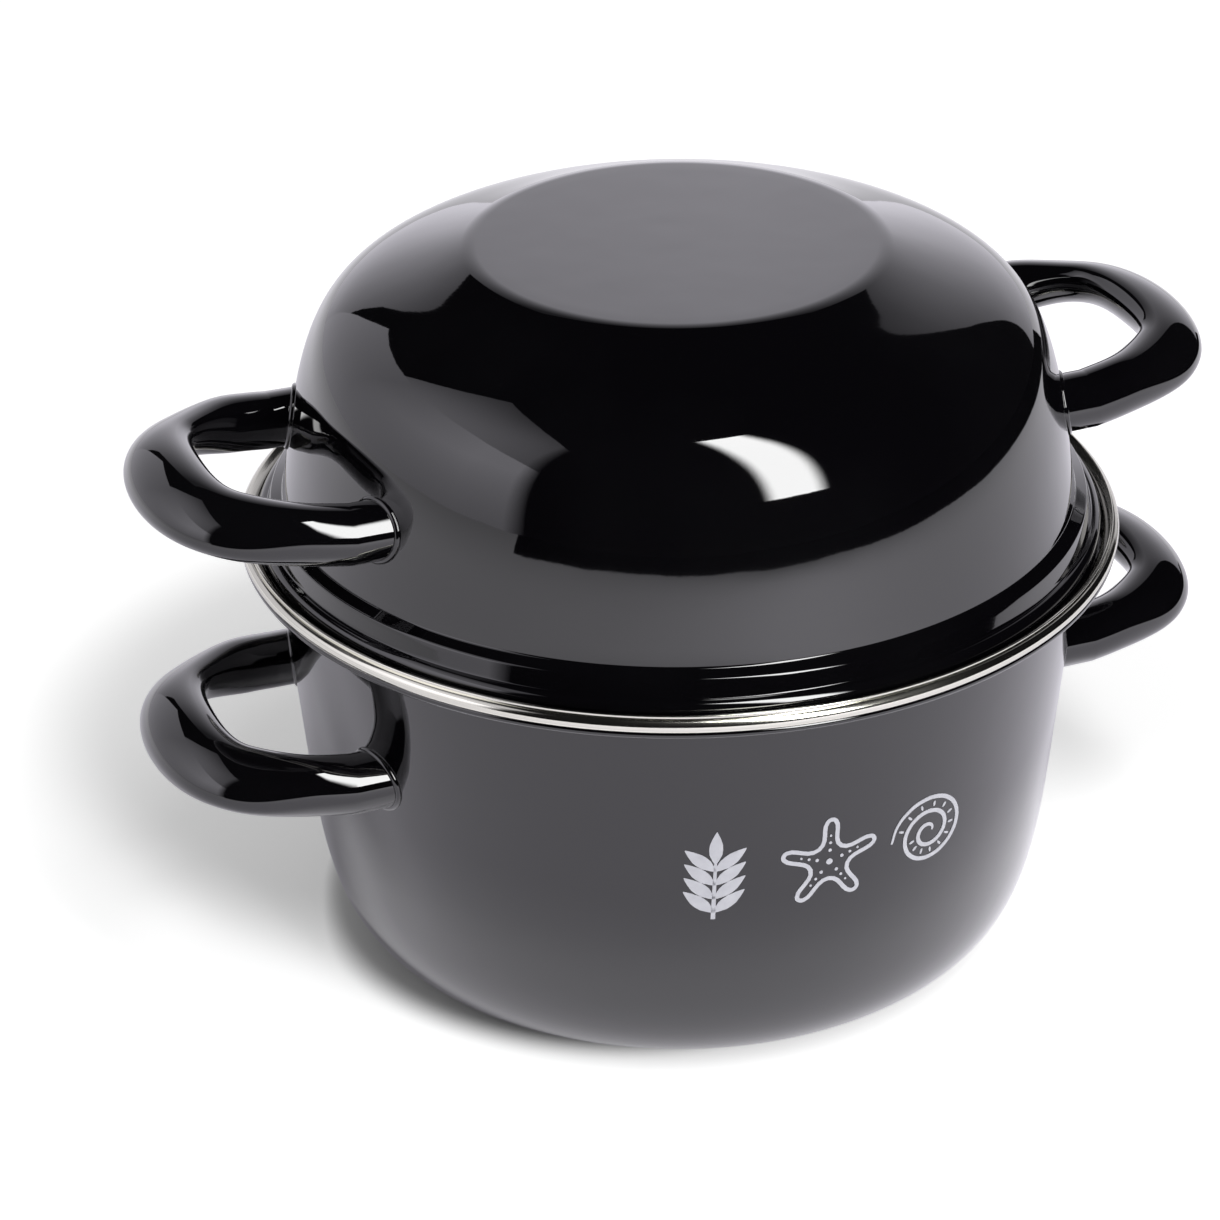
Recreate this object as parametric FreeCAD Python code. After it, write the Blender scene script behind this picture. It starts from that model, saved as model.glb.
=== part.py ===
import FreeCAD, Part
import math
import os

# A mussel pot: a deep round pot and a domed lid that turns over to hold the empty shells.
# Both are pressed sheet steel with black enamel, and each has two loops of tube as handles.
# The pot's edge is held in a bright steel rim, and the lid's rolled edge sits just inside it.
# Millimetres, +Z up. The origin is the centre of the pot's base, and the handles lie along X.

Vector = FreeCAD.Vector
z_axis = Vector(0, 0, 1)
y_axis = Vector(0, 1, 0)
origin = Vector(0, 0, 0)

# Sheet, rim and the seat between pot and lid
sheet = 1.2                  # enamelled sheet of both shells
rim_radius = 112.0           # outside of the steel rim
rim_height = 114.5           # middle of the steel rim above the table
rim_bead = 2.1               # radius of the rim's round section
rim_grip = 2.8               # how deep the pot's flange goes into the rim
seat_gap = 0.5               # free space between the rim and the lid's rolled edge

# Pot wall
rim_overhang = 8.6           # from the wall's top out to the rim's outside
flange_fillet = 1.5
wall_taper = 6.2             # how far the wall draws in down to the knee
knee_height = 49.0           # where the straight wall ends
knee_pull = 41.5             # length over which the knee keeps the wall's direction
heel_width = 33.2            # from the knee in to the flat base
base_lift = 10.0             # angle at which the wall leaves the base, degrees
base_pull = 23.8

# Lid
curl_radius = 2.1            # rolled edge of the lid
curl_opening = 85.0          # part of the turn that the roll leaves open, degrees
flange_slope = 60.0          # outer face above the rolled edge, degrees
brim_width = 2.8             # narrow brim from the foot of the skirt out to that face
brim_slope = 20.0            # degrees
brim_fillet = 1.8
skirt_inset = 4.4            # foot of the skirt inside the middle of the rolled edge
skirt_fillet = 1.5
skirt_taper = 3.0            # how far the skirt draws in up to the shoulder
shoulder_height = 26.9       # widest place of the dome, above the seat
shoulder_pull = 40.0
shoulder_width = 46.2        # from the shoulder in to the flat top
lid_height = 74.7            # flat top above the seat
dome_drop = 22.7             # angle at which the dome leaves the flat top, degrees
dome_pull = 33.3

# Handle loops, in plan: places along the loop are given inwards from the middle of the grip
tube_wall = 1.2
root_inset = 12.0            # how far the legs reach in from the wall before they are trimmed
root_span = 34.7             # half the distance between the legs at the root
leg_depth = 29.1             # outer end of the straight legs
leg_span = 33.2
bend_share = 0.54            # middle of the bend from leg to grip, as a share of the leg's depth
bend_span = 29.5
grip_share = 0.134           # where the bend runs out into the grip, as a share of the leg's depth
grip_span = 19.7
leg_width = 7.6              # half sizes of the tube's section in the legs,
leg_thickness = 7.3
bend_width = 8.8             # in the bends
bend_thickness = 5.4
grip_width = 9.8             # and in the grip
grip_thickness = 6.4
section_lean = 36.6          # how far the flattened section leans outwards, degrees
collar_width = 1.3           # weld collar round each root
collar_depth = 1.6

pot_grip_reach = 21.8        # middle of the grip outside the rim
pot_loop_drop = 40.5         # root of the pot's loops below the middle of the rim
pot_loop_tilt = 5.2          # upward tilt, degrees
lid_grip_reach = 21.2
lid_loop_rise = 26.8         # root of the lid's loops above the seat
lid_loop_tilt = 7.9

# Print on the pot's wall: a seaweed sprig, a starfish and a sea snail in white enamel
print_skin = 0.20            # thickness of the printed enamel
print_drop = 47.5            # middle of the print below the middle of the rim
print_line = 1.1             # width of a drawn line
star_offset = -1.0           # middle of each figure along X
star_radius = 13.0
star_waist = 5.6
star_arms = 5
snail_offset = 27.0
snail_radius = 11.5
snail_turns = 2.5
snail_start = 0.14           # share of the radius at which the spiral starts
weed_offset = -29.0
weed_height = 26.0
weed_pairs = 4
leaf_length = 9.5
leaf_width = 3.2
leaf_angle = 48.0            # from the stem, degrees

# Places that follow from the sizes
seat_height = rim_height + sheet / 2
rim_inner = rim_radius - 2 * rim_bead
grip_end = rim_inner + rim_grip
wall_top_radius = rim_radius - rim_overhang
knee_radius = wall_top_radius - wall_taper
curl_middle = Vector(rim_inner - seat_gap - curl_radius, 0, seat_height + curl_radius)
skirt_foot_radius = curl_middle.x - skirt_inset
shoulder_radius = skirt_foot_radius - skirt_taper
bend_depth = leg_depth * bend_share
grip_depth = leg_depth * grip_share
print_height = rim_height - print_drop


def direction(degrees):
    """Unit vector in the profile plane, turned from outwards towards up."""
    angle = math.radians(degrees)
    return Vector(math.cos(angle), 0, math.sin(angle))


def line(start, end):
    """Straight edge."""
    return Part.makeLine(start, end)


def curve(start, start_pull, end, end_pull):
    """Smooth edge that leaves and meets its ends along the two pulls."""
    bezier = Part.BezierCurve()
    bezier.setPoles([start, start + start_pull, end + end_pull, end])
    return bezier.toShape()


def arc_about(centre, radius, start_angle, end_angle):
    """Arc in the profile plane between two angles in degrees."""
    places = [start_angle, (start_angle + end_angle) / 2, end_angle]
    points = [centre + direction(angle) * radius for angle in places]
    return Part.Arc(*points).toShape()


def rounded_corner(start, corner, end, radius):
    """Two straight edges with a fillet between them."""
    back = (start - corner).normalize()
    ahead = (end - corner).normalize()
    half_angle = back.getAngle(ahead) / 2
    reach = radius / math.tan(half_angle)
    inward = (back + ahead).normalize()
    middle = corner + inward * (radius / math.sin(half_angle) - radius)
    first = corner + back * reach
    last = corner + ahead * reach
    return [line(start, first), Part.Arc(first, middle, last).toShape(), line(last, end)]


def turned(face):
    """Solid of revolution about the pot's axis."""
    return face.revolve(origin, z_axis, 360)


def as_spline(edge):
    """The edge with an offset curve rewritten as a spline, because a STEP file can't hold one."""
    if edge.Curve.TypeId != "Part::GeomOffsetCurve":
        return edge
    spline = edge.Curve.toBSpline(edge.FirstParameter, edge.LastParameter)
    return spline.toShape()


def pressed(edges, side):
    """Shell of one sheet thickness, to one side of its outer profile."""
    strip = Part.Wire(edges).makeOffset2D(side * sheet, 0, True, True)
    border = [as_spline(edge) for edge in strip.Edges]
    return turned(Part.Face(Part.Wire(Part.sortEdges(border)[0])))


def filled(edges):
    """Everything inside an outer profile that starts on the axis."""
    first = edges[0].Vertexes[0].Point
    last = edges[-1].Vertexes[-1].Point
    across = Vector(0, 0, last.z)
    closing = [line(last, across), line(across, first)]
    return turned(Part.Face(Part.Wire(edges + closing)))


def pot_wall():
    """Base, knee and straight wall of the pot, from the middle of its base to its flange."""
    base_edge = Vector(knee_radius - heel_width, 0, 0)
    knee = Vector(knee_radius, 0, knee_height)
    wall_top = Vector(wall_top_radius, 0, rim_height - sheet / 2)
    wall_run = (wall_top - knee).normalize()
    bend = curve(base_edge, direction(base_lift) * base_pull, knee, wall_run * -knee_pull)
    return [line(origin, base_edge), bend, line(knee, wall_top)]


def pot_profile():
    """Outer profile of the pot, out to the edge of its flange."""
    base, bend, wall = pot_wall()
    knee, wall_top = [vertex.Point for vertex in wall.Vertexes]
    flange_end = Vector(grip_end, 0, wall_top.z)
    return [base, bend] + rounded_corner(knee, wall_top, flange_end, flange_fillet)


def lid_flange_end():
    """Place where the lid's flange runs into its rolled edge."""
    return curl_middle + direction(90 - flange_slope) * curl_radius


def lid_brim():
    """Sharp outer corner of the lid's narrow brim."""
    flange_end = lid_flange_end()
    brim_radius = skirt_foot_radius + brim_width
    rise = (flange_end.x - brim_radius) * math.tan(math.radians(flange_slope))
    return Vector(brim_radius, 0, flange_end.z + rise)


def dome_wall():
    """Flat top, dome and straight skirt of the lid, from the middle of its top to its brim."""
    rise = brim_width * math.tan(math.radians(brim_slope))
    foot = Vector(skirt_foot_radius, 0, lid_brim().z + rise)
    shoulder = Vector(shoulder_radius, 0, seat_height + shoulder_height)
    top = Vector(0, 0, seat_height + lid_height)
    top_edge = top + Vector(shoulder_radius - shoulder_width, 0, 0)
    skirt_run = (foot - shoulder).normalize()
    dome = curve(top_edge, direction(-dome_drop) * dome_pull, shoulder, skirt_run * -shoulder_pull)
    return [line(top, top_edge), dome, line(shoulder, foot)]


def lid_profile():
    """Outer profile of the lid, out to the end of its rolled edge."""
    top, dome, skirt = dome_wall()
    shoulder, foot = [vertex.Point for vertex in skirt.Vertexes]
    skirt_line, foot_arc, brim_line = rounded_corner(shoulder, foot, lid_brim(), skirt_fillet)
    brim_start = brim_line.Vertexes[0].Point
    brim = rounded_corner(brim_start, lid_brim(), lid_flange_end(), brim_fillet)
    start_angle = 90 - flange_slope
    roll = arc_about(curl_middle, curl_radius, start_angle, start_angle - (360 - curl_opening))
    return [top, dome, skirt_line, foot_arc] + brim + [roll]


def steel_rim():
    """Round steel band, slit on its inner side for the pot's flange."""
    middle = Vector(rim_radius - rim_bead, 0, rim_height)
    section = Part.Circle(middle, y_axis, rim_bead).toShape()
    band = turned(Part.Face(Part.Wire([section])))
    slit_base = Vector(0, 0, rim_height - sheet / 2)
    return band.cut(Part.makeCylinder(grip_end, sheet, slit_base))


def loop_path(root, reach):
    """Centre line of a handle in plan, through its legs, bends and grip."""
    half = [
        Vector(root, root_span, 0),
        Vector(reach - leg_depth, leg_span, 0),
        Vector(reach - bend_depth, bend_span, 0),
        Vector(reach - grip_depth, grip_span, 0),
    ]
    mirrored = [Vector(point.x, -point.y, 0) for point in reversed(half)]
    points = half + [Vector(reach, 0, 0)] + mirrored
    path = Part.BSplineCurve()
    path.interpolate(points, Parameters=[float(index) for index in range(len(points))])
    return path


def eased(share):
    """Smooth step from 0 to 1."""
    return share * share * (3 - 2 * share)


def section_size(from_root, leg, bend, grip):
    """Half size of the section at a place between the root, 0, and the grip's middle, 4."""
    leg_end = 1.2
    bend_middle = 2.6
    grip_middle = 4.0
    if from_root <= leg_end:
        return leg
    if from_root <= bend_middle:
        return leg + (bend - leg) * eased((from_root - leg_end) / (bend_middle - leg_end))
    return bend + (grip - bend) * eased((from_root - bend_middle) / (grip_middle - bend_middle))


def loop_solid(root, reach, growth):
    """Solid loop along a handle's centre line, its section larger by growth all round."""
    path = loop_path(root, reach)
    stations = 21
    half_way = 4.0
    lean = math.radians(section_lean)
    wires = []
    for index in range(stations):
        place = 2 * half_way * index / (stations - 1)
        from_root = half_way - abs(place - half_way)
        outward = z_axis.cross(path.tangent(place)[0])
        long_axis = outward * math.cos(lean) - z_axis * math.sin(lean)
        short_axis = outward * math.sin(lean) + z_axis * math.cos(lean)
        width = section_size(from_root, leg_width, bend_width, grip_width) + growth
        thickness = section_size(from_root, leg_thickness, bend_thickness, grip_thickness) + growth
        middle = path.value(place)
        oval = Part.Ellipse(middle + long_axis * width, middle + short_axis * thickness, middle)
        wires.append(Part.Wire([oval.toShape()]))
    return Part.makeLoft(wires, True, False)


def handle(wall, root, reach, height, tilt):
    """Hollow loop with weld collars, trimmed to the wall that carries it."""
    loops = []
    for growth in (0, -tube_wall, collar_width):
        loop = loop_solid(root, reach, growth)
        loop.rotate(Vector(root, 0, 0), y_axis, -tilt)
        loop.translate(Vector(0, 0, height))
        loops.append(loop)
    tube, bore, wide = loops
    body = filled(wall)
    collars = wide.common(body.makeOffsetShape(collar_depth, 0.01))
    return tube.fuse(collars).removeSplitter().cut([bore, body])


def handle_pair(owner, wall, root, reach, height, tilt):
    """The right handle and its turned copy on the left, by node name."""
    right = handle(wall, root, reach, height, tilt)
    left = right.copy()
    left.rotate(origin, z_axis, 180)
    return {f"{owner}_handle_right": right, f"{owner}_handle_left": left}


def flat_face(points):
    """Flat figure in the plane that faces the front, from points across and up."""
    corners = [Vector(across, 0, up) for across, up in points]
    return Part.Face(Part.makePolygon(corners + corners[:1]))


def around(offset, radius, angle):
    """Point at an angle about the middle of a figure."""
    return (offset + radius * math.cos(angle), print_height + radius * math.sin(angle))


def star_points(radius, waist):
    """Points of the starfish, from tip to waist in turn."""
    reaches = [radius, waist] * star_arms
    turn = math.pi / star_arms
    return [around(star_offset, reach, math.pi / 2 + turn * index) for index, reach in enumerate(reaches)]


def star_figure():
    """Starfish, drawn as an outline with a round dot in its middle."""
    outline = flat_face(star_points(star_radius, star_waist))
    inside = flat_face(star_points(star_radius - 2.4 * print_line, star_waist - print_line))
    dot = Part.Circle(Vector(star_offset, 0, print_height), y_axis, print_line)
    return [outline.cut(inside), Part.Face(Part.Wire([dot.toShape()]))]


def snail_figure():
    """Sea snail, drawn as a spiral band."""
    points_per_turn = 16
    steps = round(snail_turns * points_per_turn)
    outer = []
    inner = []
    for index in range(steps + 1):
        angle = 2 * math.pi * index / points_per_turn
        radius = snail_radius * (snail_start + (1 - snail_start) * index / steps)
        outer.append(around(snail_offset, radius, angle))
        inner.append(around(snail_offset, radius - print_line, angle))
    return [flat_face(outer + inner[::-1])]


def leaf(root_up, angle):
    """Pointed leaf from its root on the stem, along an angle."""
    places = [(0, 0), (0.3, 0.5), (0.6, 0.5), (1, 0), (0.6, -0.5), (0.3, -0.5)]
    points = []
    for share, side in places:
        ahead = share * leaf_length
        beside = side * leaf_width
        across = weed_offset + ahead * math.cos(angle) - beside * math.sin(angle)
        points.append((across, root_up + ahead * math.sin(angle) + beside * math.cos(angle)))
    return flat_face(points)


def weed_figure():
    """Seaweed sprig: a stem with pairs of leaves and one leaf at its tip."""
    foot = print_height - weed_height / 2
    stem_top = print_height + weed_height / 2 - leaf_length
    edge = print_line / 2
    stem = flat_face([
        (weed_offset - edge, foot),
        (weed_offset + edge, foot),
        (weed_offset + edge, stem_top + edge),
        (weed_offset - edge, stem_top + edge),
    ])
    leaves = [leaf(stem_top, math.pi / 2)]
    spacing = (stem_top - foot) / weed_pairs
    for index in range(weed_pairs):
        for side in (1, -1):
            angle = math.pi / 2 - side * math.radians(leaf_angle)
            leaves.append(leaf(foot + spacing * (index + 0.5), angle))
    return [stem] + leaves


def wall_print():
    """Figures of raised white enamel that lie on the front of the pot's wall."""
    body = filled(pot_wall())
    printed_body = body.makeOffsetShape(print_skin, 0.001)
    through_front = Vector(0, -rim_radius, 0)
    solids = []
    for figure in (weed_figure(), star_figure(), snail_figure()):
        first, *others = [face.extrude(through_front) for face in figure]
        drawing = first.multiFuse(others).removeSplitter() if others else first
        solids += drawing.common(printed_body).cut(body).Solids
    return Part.makeCompound(solids)


parts = {
    "pot_shell": pressed(pot_profile(), 1),
    "pot_rim": steel_rim(),
    "lid_shell": pressed(lid_profile(), -1),
    "wall_print": wall_print(),
}
parts.update(handle_pair(
    "pot", pot_wall(), wall_top_radius - root_inset - wall_taper / 2,
    rim_radius + pot_grip_reach, rim_height - pot_loop_drop, pot_loop_tilt))
parts.update(handle_pair(
    "lid", dome_wall(), shoulder_radius - root_inset,
    rim_radius + lid_grip_reach, seat_height + lid_loop_rise, lid_loop_tilt))

os.makedirs("parts", exist_ok=True)
for name, shape in parts.items():
    shape.exportStep(f"parts/{name}.step")
    print(name, shape.isValid(), len(shape.Solids), round(shape.Volume, 1))
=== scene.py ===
"""Looks of a mussel pot: black enamelled pot and lid, steel rim, tube handles and a white print.

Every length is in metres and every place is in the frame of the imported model: +Z is up, the
base stands on the floor at the origin, and the handles lie along X.
"""
import logging
import math
from dataclasses import dataclass, field
from enum import Enum

import bmesh
import bpy
import numpy
from mathutils import Matrix, Vector


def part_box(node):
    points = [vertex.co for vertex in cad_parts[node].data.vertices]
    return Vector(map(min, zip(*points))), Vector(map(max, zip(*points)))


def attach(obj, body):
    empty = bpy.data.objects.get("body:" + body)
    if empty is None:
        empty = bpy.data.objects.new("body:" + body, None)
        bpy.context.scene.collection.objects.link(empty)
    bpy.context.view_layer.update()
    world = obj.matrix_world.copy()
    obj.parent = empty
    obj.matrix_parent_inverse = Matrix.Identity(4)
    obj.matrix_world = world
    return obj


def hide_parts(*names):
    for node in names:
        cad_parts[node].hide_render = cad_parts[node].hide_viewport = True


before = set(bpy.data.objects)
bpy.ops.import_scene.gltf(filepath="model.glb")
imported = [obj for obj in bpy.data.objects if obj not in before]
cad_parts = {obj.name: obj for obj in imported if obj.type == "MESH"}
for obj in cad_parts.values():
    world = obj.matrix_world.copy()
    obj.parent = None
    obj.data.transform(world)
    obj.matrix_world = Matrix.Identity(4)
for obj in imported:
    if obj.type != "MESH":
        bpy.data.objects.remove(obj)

MM = 0.001
BODY = "root"
AXIS_SEGMENTS = 256
SAME_PLACE = 0.001 * MM

log = logging.getLogger("mussel_pot")
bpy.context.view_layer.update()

Piece = bpy.types.Object
Finish = bpy.types.Material
Socket = bpy.types.NodeSocket
Pair = tuple[float, float]
Triple = tuple[float, float, float]


class Side(Enum):
    """Which side of the pot a handle is on, as the turn from +X in degrees."""

    RIGHT = 0.0
    LEFT = 180.0


class Slot(Enum):
    """Material slots of the record."""

    ENAMEL = "black_enamel"
    STEEL = "polished_steel"
    PRINT = "white_enamel"


# Outlines in the profile plane, as (radius, height)


def heading(degrees: float) -> Vector:
    """Unit vector in the profile plane, turned from outwards towards up."""
    return Vector((math.cos(math.radians(degrees)), math.sin(math.radians(degrees))))


def curve_points(start: Vector, start_pull: Vector, end: Vector, end_pull: Vector,
                 steps: int) -> list[Vector]:
    """Points on a smooth curve that leaves and meets its ends along two pulls.

    Args:
        start: First end.
        start_pull: From the first end to its handle.
        end: Last end.
        end_pull: From the last end to its handle.
        steps: Number of pieces.

    Returns:
        The points, with both ends.
    """
    poles = (start, start + start_pull, end + end_pull, end)
    points = []
    for index in range(steps + 1):
        share = index / steps
        rest = 1 - share
        weights = (rest**3, 3 * rest * rest * share, 3 * rest * share * share, share**3)
        points.append(sum((pole * weight for pole, weight in zip(poles, weights)), Vector((0, 0))))
    return points


def arc_points(centre: Vector, radius: float, start: float, end: float, steps: int) -> list[Vector]:
    """Points on an arc.

    Args:
        centre: Its centre.
        radius: Its radius.
        start: First angle, in degrees.
        end: Last angle, in degrees.
        steps: Number of pieces.

    Returns:
        The points, with both ends.
    """
    return [centre + heading(start + (end - start) * index / steps) * radius for index in range(steps + 1)]


def corner_points(before: Vector, corner: Vector, after: Vector, radius: float, steps: int) -> list[Vector]:
    """Points of the fillet in a corner between two straight runs.

    Args:
        before: A point on the run that comes in.
        corner: The sharp corner.
        after: A point on the run that goes out.
        radius: Radius of the fillet.
        steps: Number of pieces.

    Returns:
        The fillet's points, with both ends.
    """
    back = (before - corner).normalized()
    ahead = (after - corner).normalized()
    half_angle = back.angle(ahead) / 2
    reach = radius / math.tan(half_angle)
    centre = corner + (back + ahead).normalized() * (radius / math.sin(half_angle))
    first = corner + back * reach - centre
    last = corner + ahead * reach - centre
    turn = first.angle_signed(last)
    points = []
    for index in range(steps + 1):
        spoke = first.copy()
        spoke.rotate(Matrix.Rotation(-turn * index / steps, 2))
        points.append(centre + spoke)
    return points


def softened(before: list[Vector], after: list[Vector], reach: float, steps: int) -> list[Vector]:
    """Two chains of points joined by a soft bend in place of the sharp corner they share.

    Args:
        before: Chain that ends at the corner.
        after: Chain that starts at the corner.
        reach: Length that the bend takes from each chain.
        steps: Number of pieces in the bend.

    Returns:
        One chain of points.
    """
    corner = before[-1]
    kept_before = [point for point in before[:-1] if (point - corner).length > reach]
    kept_after = [point for point in after[1:] if (point - corner).length > reach]
    first = corner + (before[-2] - corner).normalized() * reach
    last = corner + (after[1] - corner).normalized() * reach
    bend = []
    for index in range(steps + 1):
        share = index / steps
        bend.append(first * (1 - share) ** 2 + corner * 2 * share * (1 - share) + last * share**2)
    return kept_before + bend + kept_after


def run_points(start: Vector, end: Vector, steps: int) -> list[Vector]:
    """Points on a straight run, with both ends."""
    return [start.lerp(end, index / steps) for index in range(steps + 1)]


def chained(*chains: list[Vector]) -> list[Vector]:
    """Chains of points as one, without points that repeat.

    Args:
        chains: Chains, each from where the last one ends.

    Returns:
        One chain of points.
    """
    points: list[Vector] = []
    for chain in chains:
        for point in chain:
            if not points or (point - points[-1]).length > SAME_PLACE:
                points.append(point)
    return points


# Modelling with Blender's own tools


def deselect_all() -> None:
    """Selects nothing, so that the next tool acts on the new piece alone."""
    if bpy.context.mode != "OBJECT":
        bpy.ops.object.mode_set(mode="OBJECT")
    bpy.ops.object.select_all(action="DESELECT")


def pick(piece: Piece) -> None:
    """Makes a piece the only one that is selected, and the active one.

    Args:
        piece: The piece.
    """
    deselect_all()
    piece.select_set(True)
    bpy.context.view_layer.objects.active = piece


def edit(piece: Piece, kind: str = "VERT") -> None:
    """Opens a piece's mesh with all of it selected.

    Args:
        piece: The piece.
        kind: What is selected by, as Blender names it.
    """
    pick(piece)
    bpy.ops.object.mode_set(mode="EDIT")
    bpy.ops.mesh.select_mode(type=kind)
    bpy.ops.mesh.select_all(action="SELECT")


def close() -> None:
    """Leaves edit mode."""
    bpy.ops.object.mode_set(mode="OBJECT")


def named(name: str) -> Piece:
    """The piece just added, under its own name.

    Args:
        name: Name of the piece and of its data.

    Returns:
        The piece.
    """
    piece = bpy.context.object
    piece.name = name
    piece.data.name = name
    return piece


def settle(piece: Piece) -> None:
    """Moves a piece's place, turn and scale into its mesh."""
    pick(piece)
    bpy.ops.object.transform_apply(location=True, rotation=True, scale=True)


def apply_modifiers(piece: Piece) -> None:
    """Applies a piece's modifiers in order.

    Args:
        piece: The piece.
    """
    pick(piece)
    for modifier in list(piece.modifiers):
        bpy.ops.object.modifier_apply(modifier=modifier.name)


def smooth(piece: Piece, angle: float = 40.0) -> None:
    """Shades a piece smooth, with edges sharper than an angle in degrees left crisp."""
    pick(piece)
    bpy.ops.object.shade_smooth_by_angle(angle=math.radians(angle))


def drawn_chain(name: str, points: list[Vector], closed: bool) -> Piece:
    """Draws a profile as a chain of edges in the XZ plane.

    Args:
        name: Name of the piece.
        points: Points as (radius, height).
        closed: Whether the last point joins the first.

    Returns:
        The piece, left in edit mode with its last point selected.
    """
    deselect_all()
    bpy.ops.mesh.primitive_plane_add(size=MM, location=(points[0].x, 0, points[0].y))
    piece = named(name)
    settle(piece)
    edit(piece)
    bpy.ops.mesh.merge(type="CENTER")
    for here, there in zip(points, points[1:]):
        step = there - here
        bpy.ops.mesh.extrude_vertices_move(TRANSFORM_OT_translate={"value": (step.x, 0, step.y)})
    if closed:
        mesh = bmesh.from_edit_mesh(piece.data)
        for vertex in mesh.verts:
            vertex.select_set(len(vertex.link_edges) == 1)
        bpy.ops.mesh.edge_face_add()
    return piece


def lathe(name: str, points: list[Vector], closed: bool = False) -> Piece:
    """Spins a profile about the pot's axis.

    Args:
        name: Name of the piece.
        points: Profile as (radius, height).
        closed: Whether the profile is a closed section.

    Returns:
        The piece as one skin, its poles and its seam closed.
    """
    piece = drawn_chain(name, points, closed)
    bpy.ops.mesh.select_all(action="SELECT")
    bpy.ops.mesh.spin(steps=AXIS_SEGMENTS, angle=2 * math.pi, center=(0, 0, 0), axis=(0, 0, 1))
    bpy.ops.mesh.select_all(action="SELECT")
    bpy.ops.mesh.remove_doubles(threshold=0.01 * MM)
    bpy.ops.mesh.normals_make_consistent(inside=False)
    close()
    return piece


def flip(piece: Piece) -> None:
    """Turns all of a piece's faces over.

    Args:
        piece: The piece.
    """
    edit(piece)
    bpy.ops.mesh.flip_normals()
    close()


def face_out(piece: Piece, sign: int) -> None:
    """Turns a skin so that its face nearest the axis looks outwards.

    Args:
        piece: The skin.
        sign: Which way outwards is there: 1 for up and -1 for down.
    """
    nearest = min(piece.data.polygons, key=lambda face: face.center.xy.length)
    if nearest.normal.z * sign < 0:
        flip(piece)


def thicken(piece: Piece, sheet: float, offset: float = -1.0) -> None:
    """Gives a skin its wall.

    Args:
        piece: The skin.
        sheet: Thickness of the wall.
        offset: Where the wall goes: -1 for behind the faces and 1 for before them.
    """
    pick(piece)
    wall = piece.modifiers.new("sheet", "SOLIDIFY")
    wall.thickness = sheet
    wall.offset = offset
    wall.use_even_offset = True
    wall.use_quality_normals = True
    apply_modifiers(piece)


def press_onto(piece: Piece, wall: Piece, axis: str, ahead: bool, lift: float = 0.0, part: str = "") -> None:
    """Lays a piece on a wall, straight along one axis.

    Args:
        piece: The piece that is laid on.
        wall: What it is laid on.
        axis: The axis, as "x" or "y".
        ahead: Whether it moves towards the axis's own end.
        lift: Distance kept from the wall.
        part: Group of points that move, or all of them.
    """
    press = piece.modifiers.new("press", "SHRINKWRAP")
    press.target = wall
    press.wrap_method = "PROJECT"
    press.use_project_x = axis == "x"
    press.use_project_y = axis == "y"
    press.use_project_z = False
    press.use_positive_direction = ahead
    press.use_negative_direction = not ahead
    press.offset = lift
    press.vertex_group = part
    apply_modifiers(piece)


def pick_open_edges(piece: Piece) -> None:
    """Selects the edges round the openings of a mesh that is being edited.

    Args:
        piece: The piece, in edit mode.
    """
    bpy.ops.mesh.select_all(action="DESELECT")
    bpy.ops.mesh.select_mode(type="EDGE")
    mesh = bmesh.from_edit_mesh(piece.data)
    for edge in mesh.edges:
        edge.select_set(edge.is_boundary)
    bmesh.update_edit_mesh(piece.data)


def joined(name: str, pieces: list[Piece]) -> Piece:
    """Several meshes as one piece.

    Args:
        name: Name of the whole.
        pieces: The meshes.

    Returns:
        The one piece.
    """
    pick(pieces[0])
    for piece in pieces[1:]:
        piece.select_set(True)
    bpy.ops.object.join()
    return named(name)


def remove(piece: Piece) -> None:
    """Deletes a helper."""
    bpy.data.objects.remove(piece, do_unlink=True)


def finish_piece(piece: Piece, slot: Slot, material: Finish, *nodes: str) -> None:
    """Dresses a piece, lets it ride, and reports it.

    Args:
        piece: The finished mesh.
        slot: Its slot in the record; not used.
        material: Its finish.
        nodes: The nodes of the model that it stands for.
    """
    piece.data.materials.clear()
    piece.data.materials.append(material)
    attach(piece, BODY)
    if nodes:
        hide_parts(*nodes)
    log.info("%s: %d faces", piece.name, len(piece.data.polygons))


# Finishes


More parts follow.
